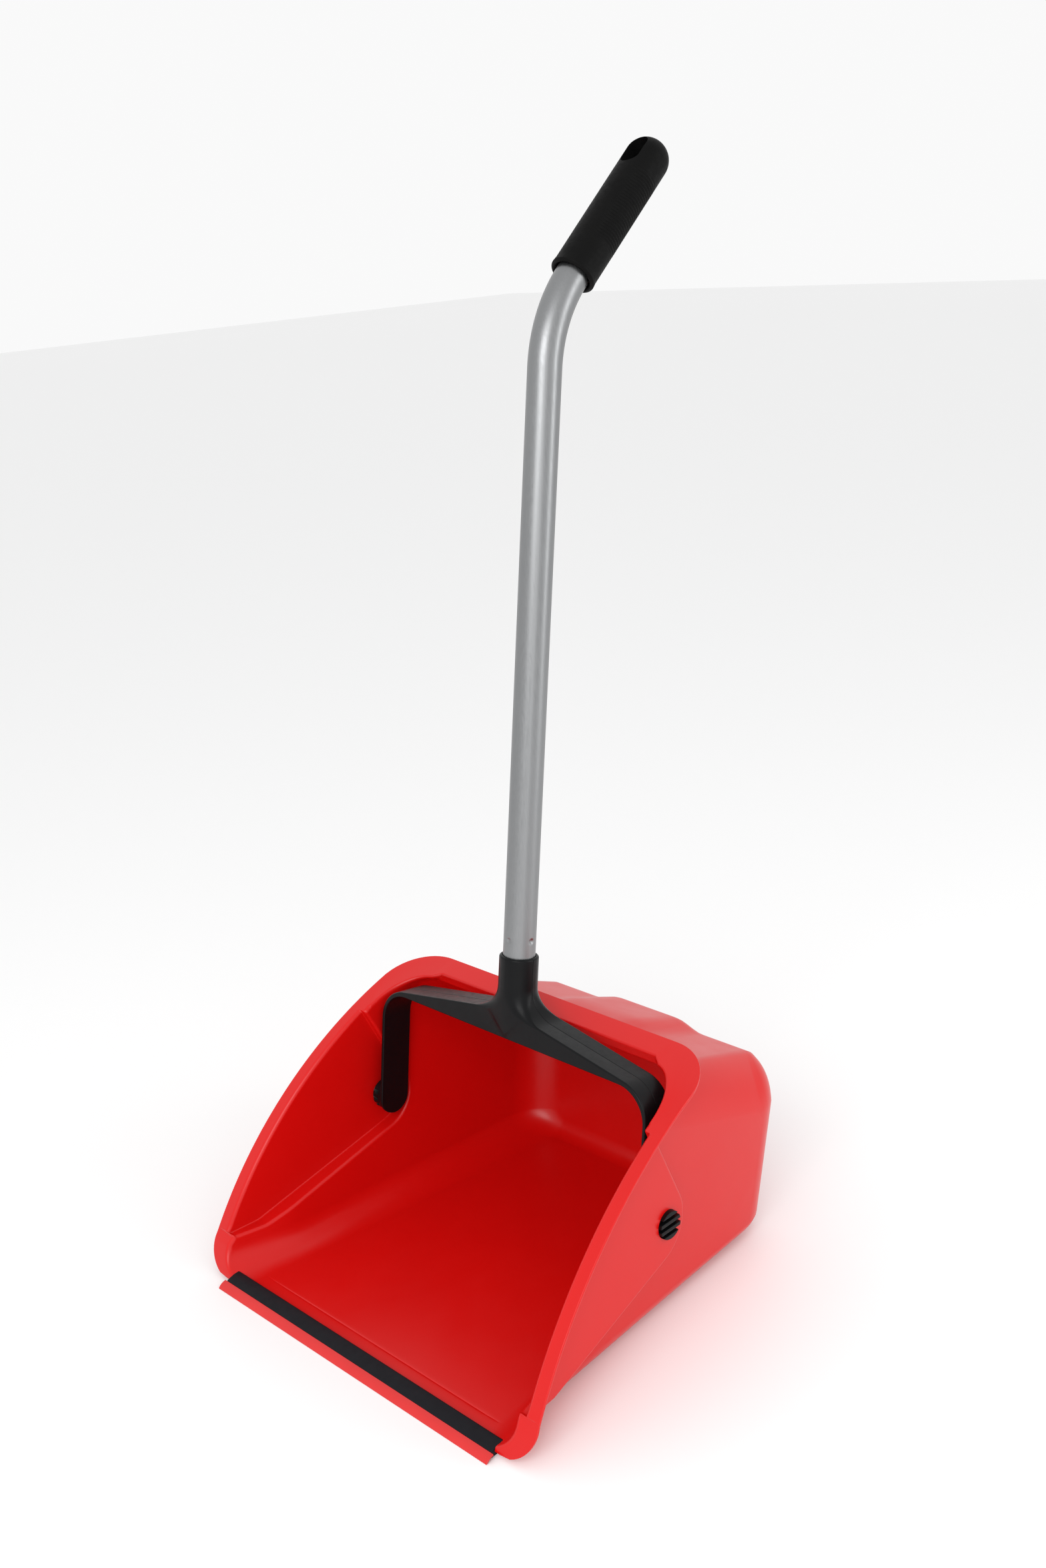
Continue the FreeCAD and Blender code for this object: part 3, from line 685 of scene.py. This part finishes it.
def pan_rim(net, inner, outer):
    """The flange on both skins, with its rounded outer edge."""
    columns = []
    for (edge, at, start), (edge_out, at_out, start_out) in zip(inner, outer):
        fold = rim_fold(edge, at, start, FOLD_ARC)
        fold_out = rim_fold(edge_out, at_out, start_out, FOLD_ARC_OUTSIDE)[::-1]
        lip = rounded(fold[-1], edge, edge_out, EDGE_ROUND, EDGE_ARC)
        lip_out = rounded(edge, edge_out, fold_out[0], EDGE_ROUND, EDGE_ARC)
        face = run(fold[-1], lip[0], FLANGE_ROWS)[1:-1]
        face_out = run(lip_out[-1], fold_out[0], FLANGE_ROWS)[1:-1]
        columns.append(fold + face + lip + lip_out + face_out + fold_out)
    net.grid(columns)


def pan():
    net = Net()
    inner = pan_skin(net, 0)
    outer = pan_skin(net, WALL)
    pan_rim(net, inner, outer)
    net.grid([[(wing_x(y, out), y, PIVOT_Z + z) for y, z in circle(HOLE_R, STUD_SIDES)]
              for out in (0, WALL)], closed=True)
    return net.build("pan_shell_detail", mirror=True, weld=0.05)


# ---- the lip

def prism(name, outline_points, half, edge):
    """A profile given as (y, z) drawn out along X, with its edges rounded."""
    net = Net()
    net.solid([[(x, y, z) for y, z in outline_points] for x in (-half, half)])
    piece = net.build(name)
    bevel = piece.modifiers.new("edges", "BEVEL")
    bevel.width = edge * MM
    bevel.segments = EDGE_ARC
    bevel.limit_method = "ANGLE"
    bevel.angle_limit = math.radians(25)
    return piece


def lip_clip():
    """The black strip that grips the floor's front edge from above and below."""
    back, top, front = CLIP_HIGH[1], CLIP_HIGH[2], CLIP_LOW[1]
    profile = [(back, GROUND_GAP), (back, JAW), (FLOOR_FRONT, JAW)]
    profile += [(FLOOR_FRONT, WALL + JAW_GAP), (back, WALL + JAW_GAP)]
    profile += [(back + y, top + z) for y, z in CLIP_TOP]
    profile += [(front + y, BLADE_HIGH[2] + z) for y, z in CLIP_NOSE]
    profile.append((profile[-1][0], GROUND_GAP))
    return prism("lip_clip_detail", profile, CLIP_HIGH[0], CLIP_EDGE)


def lip_blade():
    """The thin red blade: it bulges forward out of the clip and bends down to the floor."""
    root = (BLADE_HIGH[1] + BLADE_ROOT[0], BLADE_HIGH[2] + BLADE_ROOT[1])
    shoulder = (BLADE_LOW[1] + BLADE_SHOULDER[0], BLADE_HIGH[2] + BLADE_SHOULDER[1])
    tip = (BLADE_LOW[1] + BLADE_TIP[0], BLADE_LOW[2] + BLADE_TIP[1])
    under_root = (root[0], root[1] - BLADE_THICK)
    under_shoulder = (shoulder[0] + BLADE_THICK, shoulder[1] - BLADE_THICK)
    under_tip = (tip[0] + BLADE_THICK, GROUND_GAP)
    profile = corner(root, shoulder, tip, BLADE_ARC)
    profile += corner(under_tip, under_shoulder, under_root, BLADE_ARC)
    return prism("lip_blade_detail", profile, BLADE_HIGH[0], BLADE_EDGE)


# ---- the handle, in its own frame:
# x across, n to the back and t along the tube, from the fold axis

def from_handle(x, n, t):
    return np.array((x, n * math.cos(LEAN) + t * math.sin(LEAN),
                     PIVOT_Z - n * math.sin(LEAN) + t * math.cos(LEAN)))


def on_centre(point, t):
    """A point's neighbour on the centre plane, as far back as it is and at height t."""
    n = point[1] * math.cos(LEAN) - (point[2] - PIVOT_Z) * math.sin(LEAN)
    return from_handle(0, n, t)


def yoke_lines():
    """The yoke's right half seen from the front, as (x, t): pairs of a point on its outside and the
    point opposite on its inside from the arm's end to the collar's foot, then the same for the
    collar, with the centre plane opposite."""
    arm_out, arm_in = YOKE_HALF, YOKE_HALF - STRAP
    rise = math.tan(math.radians(BAR_RISE))
    crown = BAR_FOOT + BAR_END + (arm_out - YOKE_CORNER) * rise
    outer_corner = (arm_out, BAR_FOOT + BAR_END - YOKE_CORNER * rise)
    crown_foot = (COLLAR_R, crown - COLLAR_R * rise)
    pairs = []
    for index in range(ARM_ROWS + 1):
        t = ARM_END - ARM_ROUND + (ARM_ROUND + ARM_TOP) * (index / ARM_ROWS) ** ARM_SPACING
        pairs.append(((arm_out, t), (arm_in, t)))
    outside = rounded((arm_out, 0), outer_corner, crown_foot, YOKE_CORNER, YOKE_ARC)
    inside_turn = rounded((arm_in, 0), (arm_in, BAR_FOOT), (0, BAR_FOOT), YOKE_CORNER - STRAP, YOKE_ARC)
    pairs += list(zip(outside, inside_turn))
    blend = rounded(outside[-1], crown_foot, (COLLAR_R, COLLAR_TOP), COLLAR_BLEND, BLEND_ARC)
    foot_end = blend[0][0]
    for index in range(1, BAR_ROWS):
        share = index / BAR_ROWS
        pairs.append((between(outside[-1], blend[0], share),
                      between(inside_turn[-1], (foot_end, BAR_FOOT), share)))
    for index, point in enumerate(blend[:CROTCH_ROWS + 1]):
        pairs.append((point, (foot_end * (1 - index / CROTCH_ROWS), BAR_FOOT)))
    centre = []
    for index in range(CROTCH_ROWS + 1, BLEND_ARC):
        share = (index - CROTCH_ROWS) / (BLEND_ARC - CROTCH_ROWS)
        centre.append((blend[index], (0, BAR_FOOT + (blend[index][1] - BAR_FOOT) * share)))
    for _, t in run(blend[-1], (COLLAR_R, COLLAR_TOP - COLLAR_EDGE), COLLAR_ROWS):
        centre.append(((COLLAR_R, t), (0, t)))
    return pairs, centre


def arm_depth(t):
    """From the arm's middle to its front or back, which draw together in its round lower end."""
    below = min(t, 0)
    return math.sqrt(ARM_ROUND ** 2 - below ** 2) * YOKE_DEPTH / ARM_ROUND


def on_section(start, toward, points):
    """Points of a section, given as (distance from start toward the other point, n)."""
    (x, t), direction = start, unit(np.subtract(toward, start))
    return [from_handle(x + direction[0] * inset, n, t + direction[1] * inset) for inset, n in points]


def yoke_section(outside, inside_point, share):
    """A section's outline from its front face, round the outside with its parting groove, to its
    back face. share says how far its square edges have turned into the collar's circle."""
    width = np.linalg.norm(np.subtract(inside_point, outside))
    depth = arm_depth(outside[1]) + (COLLAR_R - YOKE_DEPTH) * share
    middle = -TUBE_OFFSET * share
    edge = YOKE_EDGE + (COLLAR_R - COLLAR_FLAT - YOKE_EDGE) * share
    edge = min(edge, width * EDGE_OF_WIDTH, depth * EDGE_OF_DEPTH)
    front = [(inset, middle - depth + step) for inset, step in quarter(edge, SECTION_ARC)]
    groove = min(PARTING_WIDTH, PARTING_MOST * (depth - edge))
    front.append((0, middle - groove))
    back = [(inset, 2 * middle - n) for inset, n in reversed(front)]
    floor_of_groove = (PARTING_DEEP * groove / PARTING_WIDTH, middle)
    return on_section(outside, inside_point, front + [floor_of_groove] + back)


def yoke_inner(inside_point, outside):
    """The inside edge of a closed section, from back to front."""
    depth = arm_depth(outside[1])
    edge = min(INNER_EDGE, depth * INNER_OF_DEPTH)
    back = [(inset, depth - step) for inset, step in quarter(edge, INNER_ARC)]
    return on_section(inside_point, outside, back + [(inset, -n) for inset, n in reversed(back)])


def yoke_body(net):
    """Closed loops along the arm and the bar, then open rows that climb the collar's right half."""
    pairs, centre = yoke_lines()
    steps = len(centre) - 2
    square = len(pairs) - CROTCH_ROWS - 1
    loops = []
    for index, (outside, inside_point) in enumerate(pairs):
        half = yoke_section(outside, inside_point, ease((index - square) / steps))
        back = yoke_inner(inside_point, outside)
        if index == len(pairs) - 1:
            for point in back:
                point[0] = 0
        loops.append([between(back[-1], half[0], 0.5)] + half + [between(half[-1], back[0], 0.5)] + back)
    numbers = net.grid(loops, closed=True)
    net.faces.append(tuple(numbers[0]))
    count = len(half)
    rows = [[back[-1]] + loops[-1][:count + 2] + [back[0]]]
    for index, (outside, inside_point) in enumerate(centre):
        half = yoke_section(outside, inside_point, ease((CROTCH_ROWS + 1 + index) / steps))
        front, rear = (on_centre(point, inside_point[1]) for point in (half[0], half[-1]))
        rows.append([front, between(front, half[0], 0.5)] + half + [between(half[-1], rear, 0.5), rear])
    top = rows[-1]
    foot = from_handle(0, -TUBE_OFFSET, COLLAR_TOP - COLLAR_EDGE)
    for radius, t in collar_mouth():
        middle = from_handle(0, -TUBE_OFFSET, t)
        rows.append([middle + (point - foot) * (radius / COLLAR_R) for point in top])
    net.grid(rows)


def collar_mouth():
    """Over the collar's rounded top edge and down its bore, as (radius, t)."""
    bore = TUBE_R + BORE_GAP
    edge = rounded((COLLAR_R, 0), (COLLAR_R, COLLAR_TOP), (0, COLLAR_TOP), COLLAR_EDGE)
    lip = rounded((COLLAR_R, COLLAR_TOP), (bore, COLLAR_TOP), (bore, 0), BORE_EDGE, EDGE_ARC)
    return edge + lip + [(bore, COLLAR_TOP - BORE_DEPTH), (0, COLLAR_TOP - BORE_DEPTH)]


def slat(net, low, high):
    """One slat of the stud between two heights, in world directions about the fold axis."""
    stations = [(STUD_ROOT, SHOULDER_R), (SHOULDER_END, SHOULDER_R), (SHOULDER_END, STUD_R),
                (STUD_END - STUD_EDGE, STUD_R), (STUD_END - STUD_EDGE / 3, STUD_R - STUD_EDGE / 3),
                (STUD_END, STUD_R - STUD_EDGE)]
    rows = []
    for x, radius in stations:
        inset = STUD_EDGE / 2 if x == STUD_END else 0.0
        limit = radius - SLAT_TIP
        heights = np.linspace(max(low + inset, -limit), min(high - inset, limit), SLAT_ROWS)
        right = [(math.sqrt(radius ** 2 - z * z), z) for z in heights]
        outline = right + [(-y, z) for y, z in right[::-1]]
        rows.append([(x, y, PIVOT_Z + z) for y, z in outline])
    net.solid(rows)


def studs(net):
    """The stud's shoulder, and the slats that stand on it."""
    net.solid([[(x, y, PIVOT_Z + z) for y, z in circle(SHOULDER_R, STUD_SIDES)]
               for x in (YOKE_HALF - SHOULDER_SINK, STUD_ROOT + SHOULDER_LAP)])
    for step in range(SLATS):
        low, high = ((step + side - SLATS / 2) * SLAT_PITCH for side in (0, 1))
        slat(net, low + SLAT_GAP / 2 if step else -math.inf,
             high - SLAT_GAP / 2 if step < SLATS - 1 else math.inf)


def yoke():
    net = Net()
    yoke_body(net)
    studs(net)
    return net.build("yoke_detail", mirror=True, weld=0.01)


def tube_path(s):
    """A point and direction on the tube's axis, as (n, t) and an angle, s along from its foot."""
    if s <= STRAIGHT:
        return (-TUBE_OFFSET, TUBE_FOOT + s), 0.0
    turn = min((s - STRAIGHT) / BEND_R, BEND)
    n = -TUBE_OFFSET + BEND_R * (1 - math.cos(turn))
    t = BEND_START + BEND_R * math.sin(turn)
    rest = s - STRAIGHT - BEND_R * turn
    return (n + rest * math.sin(turn), t + rest * math.cos(turn)), turn


def tube_ring(s, radius_at):
    """A ring of points round the axis, at the radius that a function of the angle gives."""
    (n, t), turn = tube_path(s)
    ring = []
    for index in range(TUBE_SIDES):
        angle = 2 * math.pi * index / TUBE_SIDES
        radius = radius_at(angle)
        side, front = radius * math.cos(angle), radius * math.sin(angle)
        ring.append(from_handle(side, n + front * math.cos(turn), t - front * math.sin(turn)))
    return ring


def staked_radius(s, angle):
    """The tube's radius, less the stake dimples that hold its insert."""
    dent = 0.0
    for index in range(DIMPLES):
        away = math.remainder(angle - 2 * math.pi * index / DIMPLES, 2 * math.pi) * TUBE_R
        dent += math.exp(-((away ** 2 + (s - STAKE) ** 2) / DIMPLE_R ** 2) ** DIMPLE_STEEP)
    return TUBE_R - DIMPLE * dent


def tube():
    """The bent tube, with finer rows at its dimples."""
    stops = [0.0, STAKE - DENT_MARGIN]
    stops += list(np.arange(STAKE - DENT_REACH, STAKE + DENT_REACH + DENT_STEP / 5, DENT_STEP))
    stops += [STAKE + DENT_MARGIN] + list(np.linspace(STAKE + DENT_END, STRAIGHT, TUBE_ROWS))
    stops += [STRAIGHT + BEND_LENGTH * (step + 1) / BEND_ROWS for step in range(BEND_ROWS)]
    stops += [STRAIGHT + BEND_LENGTH + TUBE_IN_GRIP]
    net = Net()
    net.solid([tube_ring(s, partial(staked_radius, s)) for s in stops])
    return net.build("handle_tube_detail")


def grip_foot():
    """The grip's rolled foot, from inside its mouth to its outside, as (radius, s)."""
    path = [(TUBE_R + past, s) for past, s in GRIP_MOUTH]
    bulge = (GRIP_R + BULGE[0], BULGE[1])
    path += rounded(path[-1], (TUBE_R + ROLL[0], ROLL[1]), bulge, ROLL_ROUND, ROLL_ARC)
    path += rounded(path[-1], bulge, (GRIP_R, BULGE_END), BULGE_ROUND, BULGE_ARC)
    return path


def grip_radius(s, angle):
    """The grip's radius above its foot: fine ribs on both flanks, and a round end."""
    radius = GRIP_R
    if s > GRIP_LENGTH - GRIP_ROUND:
        inward = min((s - GRIP_LENGTH + GRIP_ROUND) / GRIP_ROUND, GRIP_CLOSED)
        radius = GRIP_R - GRIP_ROUND + GRIP_ROUND * math.sqrt(1 - inward ** 2)
    flank = ease((abs(math.cos(angle)) - FLANK) / FLANK_FADE)
    zone = ease((s - RIB_START) / RIB_FADE) * ease((RIB_END - s) / RIB_FADE)
    return radius + RIB * flank * zone * math.cos(2 * math.pi * s / RIB_PITCH)


def grip():
    """The closed sleeve over the tube's upper end."""
    start = STRAIGHT + BEND_LENGTH
    rings = [tube_ring(start + s, lambda angle: radius) for radius, s in grip_foot()]
    round_start = GRIP_LENGTH - GRIP_ROUND
    stops = list(np.linspace(GRIP_MOUTH[0][1], RIB_START, GRIP_ROWS))
    stops += list(np.arange(RIB_START + RIB_STEP, RIB_END, RIB_STEP))
    stops += list(np.linspace(RIB_END, round_start, GRIP_ROWS))
    angles = [math.pi / 2 * (step + 1) / END_ROWS for step in range(END_ROWS)]
    stops += [round_start + GRIP_ROUND * math.sin(angle) for angle in angles]
    rings += [tube_ring(start + s, partial(grip_radius, s)) for s in stops]
    net = Net()
    net.solid(rings)
    piece = net.build("hand_grip_detail")
    cut_hole(piece, start)
    return piece


def cut_hole(piece, start):
    """The oblong hole to hang the grip by, with flared mouths."""
    net = Net()
    (n, t), turn = tube_path(start + HANG_CENTRE)
    rings = []
    for depth, flared in [(-depth, flared) for depth, flared in HANG_MOUTH] + list(HANG_MOUTH[::-1]):
        ring = []
        for across, along in circle(HANG_WIDTH / 2 + flared, HANG_SIDES):
            along += math.copysign((HANG_LENGTH - HANG_WIDTH) / 2, along)
            ring.append(from_handle(across, n + depth * math.cos(turn) + along * math.sin(turn),
                                    t - depth * math.sin(turn) + along * math.cos(turn)))
        rings.append(ring)
    net.solid(rings)
    cutter = net.build("hole_cutter")
    cut = piece.modifiers.new("hole", "BOOLEAN")
    cut.operation = "DIFFERENCE"
    cut.solver = "EXACT"
    cut.object = cutter
    bpy.context.view_layer.update()
    graph = bpy.context.evaluated_depsgraph_get()
    mesh = bpy.data.meshes.new_from_object(piece.evaluated_get(graph))
    piece.modifiers.clear()
    piece.data = mesh
    bpy.data.objects.remove(cutter)


# ---- materials

def set_inputs(node, **values):
    """Sets a node's inputs by name, with _ for a space."""
    for label, value in values.items():
        node.inputs[label.replace("_", " ")].default_value = value


class Finish:
    """A procedural material: a Principled shader with plain values, and helpers that vary them."""

    def __init__(self, name, color, roughness, **settings):
        self.material = bpy.data.materials.new(name)
        self.material.use_nodes = True
        self.tree = self.material.node_tree
        self.shader = self.tree.nodes["Principled BSDF"]
        set_inputs(self.shader, Base_Color=(*color, 1), Roughness=roughness, **settings)
        self.place = self.node("ShaderNodeTexCoord").outputs["Object"]

    def node(self, kind, **values):
        made = self.tree.nodes.new(kind)
        set_inputs(made, **values)
        return made

    def noise(self, scale, detail=3.0, stretch=(1, 1, 1)):
        mapping = self.node("ShaderNodeMapping", Scale=stretch)
        self.tree.links.new(self.place, mapping.inputs["Vector"])
        node = self.node("ShaderNodeTexNoise", Scale=scale, Detail=detail)
        self.tree.links.new(mapping.outputs["Vector"], node.inputs["Vector"])
        return node.outputs["Fac"]

    def vary_color(self, value, first, second):
        node = self.node("ShaderNodeMix")
        node.data_type = "RGBA"
        set_inputs(node, A=(*first, 1), B=(*second, 1))
        self.tree.links.new(value, node.inputs["Factor"])
        self.tree.links.new(node.outputs["Result"], self.shader.inputs["Base Color"])

    def vary_roughness(self, value, low, high):
        """Roughness from low to high over the middle of a noise's range."""
        node = self.node("ShaderNodeMapRange", From_Min=0.2, From_Max=0.8, To_Min=low, To_Max=high)
        node.interpolation_type = "SMOOTHSTEP"
        self.tree.links.new(value, node.inputs["Value"])
        self.tree.links.new(node.outputs["Result"], self.shader.inputs["Roughness"])

    def bump(self, value, height, strength):
        node = self.node("ShaderNodeBump", Strength=strength, Distance=height)
        self.tree.links.new(value, node.inputs["Height"])
        self.tree.links.new(node.outputs["Normal"], self.shader.inputs["Normal"])


def pan_red():
    """Glossy injection-moulded polypropylene: clear gloss over a faint flow pattern."""
    finish = Finish("pan_red", (0.6, 0.003, 0.002), 0.3, Specular_IOR_Level=0.35)
    finish.vary_color(finish.noise(9.0, 4.0), (0.58, 0.0025, 0.002), (0.63, 0.004, 0.003))
    finish.vary_roughness(finish.noise(38.0, 5.0), 0.285, 0.34)
    finish.bump(finish.noise(1400.0, 2.0), 0.00001, 0.1)
    return finish.material


def lip_black():
    """Dull extruded plastic."""
    finish = Finish("lip_black", (0.004, 0.004, 0.006), 0.5, Specular_IOR_Level=0.15)
    finish.vary_color(finish.noise(60.0), (0.004, 0.004, 0.006), (0.007, 0.007, 0.010))
    finish.vary_roughness(finish.noise(160.0), 0.42, 0.58)
    finish.bump(finish.noise(2600.0, 2.0), 0.00003, 0.5)
    return finish.material


def lip_red():
    """The blade's soft, slightly pale plastic."""
    finish = Finish("lip_red", (0.62, 0.012, 0.012), 0.33)
    finish.vary_color(finish.noise(30.0), (0.58, 0.010, 0.011), (0.66, 0.018, 0.016))
    finish.vary_roughness(finish.noise(120.0), 0.28, 0.4)
    finish.bump(finish.noise(1800.0, 2.0), 0.00003, 0.4)
    return finish.material


def yoke_black():
    """Satin moulded plastic with a fine spark-eroded grain."""
    finish = Finish("yoke_black", (0.004, 0.004, 0.005), 0.36, Specular_IOR_Level=0.14)
    finish.vary_color(finish.noise(45.0), (0.003, 0.0032, 0.0036), (0.005, 0.0053, 0.006))
    finish.vary_roughness(finish.noise(220.0, 4.0), 0.28, 0.4)
    finish.bump(finish.noise(3800.0, 3.0), 0.00004, 0.5)
    return finish.material


def insert_black():
    """Plain plastic, hidden inside the tube."""
    finish = Finish("insert_black", (0.03, 0.03, 0.03), 0.5)
    finish.vary_roughness(finish.noise(200.0), 0.42, 0.58)
    finish.bump(finish.noise(2500.0, 2.0), 0.00003, 0.4)
    return finish.material


def tube_metal():
    """Satin anodised aluminium with faint drawing lines along the tube."""
    finish = Finish("tube_metal", (0.27, 0.275, 0.28), 0.38, Metallic=1.0)
    lines = finish.noise(90.0, 4.0, (14, 14, 0.35))
    finish.vary_color(lines, (0.245, 0.25, 0.255), (0.30, 0.305, 0.31))
    finish.vary_roughness(lines, 0.33, 0.45)
    finish.bump(lines, 0.00003, 0.25)
    return finish.material


def grip_black():
    """Soft rubber-like plastic: dull, with a fine pebbled skin."""
    finish = Finish("grip_black", (0.005, 0.005, 0.005), 0.6, Specular_IOR_Level=0.08)
    finish.vary_color(finish.noise(70.0), (0.002, 0.002, 0.002), (0.004, 0.004, 0.0038))
    finish.vary_roughness(finish.noise(300.0, 4.0), 0.48, 0.64)
    finish.bump(finish.noise(3000.0, 3.0), 0.00008, 0.6)
    return finish.material


# ---- camera, floor, light

def camera():
    """The camera, in metres, at the viewing angle from the front right, slightly rolled."""
    place, view, roll = (0.8453, -0.7776, 0.7883), Vector((-0.6802, 0.6579, -0.3234)), math.radians(-4.15)
    data = bpy.data.cameras.new("camera")
    data.lens = 38.3
    data.sensor_fit = "VERTICAL"
    data.sensor_height = 36
    eye = add_object("camera", data)
    view.normalize()
    side = view.cross(Vector((0, 0, 1))).normalized()
    lift = side.cross(view)
    right = side * math.cos(roll) + lift * math.sin(roll)
    up = lift * math.cos(roll) - side * math.sin(roll)
    turn = Matrix((right, up, -view)).transposed().to_4x4()
    eye.matrix_world = Matrix.Translation(place) @ turn
    bpy.context.scene.camera = eye


def panel(name, place, aim, size, power):
    """One soft box."""
    data = bpy.data.lights.new(name, "AREA")
    data.shape = "RECTANGLE"
    data.size, data.size_y = size
    data.energy = power
    lamp = add_object(name, data)
    lamp.location = place
    lamp.rotation_euler = (Vector(aim) - Vector(place)).to_track_quat("-Z", "Y").to_euler()


def light():
    """An even white studio: a bright surround, a large key box, a narrow strip and an edge box."""
    world = bpy.data.worlds.new("studio")
    world.use_nodes = True
    set_inputs(world.node_tree.nodes["Background"], Color=(1, 1, 1, 1), Strength=0.95)
    bpy.context.scene.world = world
    bpy.context.scene.view_settings.view_transform = "Standard"
    panel("key", place=(0.8, -1.5, 1.3), aim=(0, 0, 0.12), size=(1.1, 1.1), power=17)
    panel("strip", place=(1.6, -1.1, 0.5), aim=(0.15, -0.1, 0.1), size=(0.12, 0.9), power=1.5)
    panel("edge", place=(1.7, 1.0, 0.8), aim=(0, 0, 0.3), size=(0.5, 1.4), power=8)


def floor():
    """A plain pale floor, wide enough that its edge lies far behind the part."""
    half_size, pale = 12, (0.9, 0.9, 0.9, 1)
    bm = bmesh.new()
    bmesh.ops.create_grid(bm, x_segments=1, y_segments=1, size=half_size)
    mesh = bpy.data.meshes.new("floor")
    bm.to_mesh(mesh)
    bm.free()
    piece = add_object("floor", mesh)
    material = bpy.data.materials.new("floor")
    material.use_nodes = True
    set_inputs(material.node_tree.nodes["Principled BSDF"], Base_Color=pale)
    mesh.materials.append(material)


def finish_piece(piece, material, body, node):
    """Smooth shading, material and body for a piece, and hides the CAD node that the piece stands for."""
    piece.data.materials.clear()
    piece.data.materials.append(material)
    for face in piece.data.polygons:
        face.use_smooth = True
    piece.data.set_sharp_from_angle(angle=math.radians(35))
    weighted = piece.modifiers.new("normals", "WEIGHTED_NORMAL")
    weighted.keep_sharp = True
    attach(piece, body)
    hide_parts(node)


camera()
light()
floor()
finish_piece(pan(), pan_red(), "pan", "pan_shell")
finish_piece(lip_clip(), lip_black(), "pan", "lip_clip")
finish_piece(lip_blade(), lip_red(), "pan", "lip_blade")
finish_piece(yoke(), yoke_black(), "handle", "yoke")
finish_piece(tube(), tube_metal(), "handle", "handle_tube")
finish_piece(grip(), grip_black(), "handle", "hand_grip")
insert = frame["nodes"]["tube_insert"]
insert.data.materials.clear()
insert.data.materials.append(insert_black())
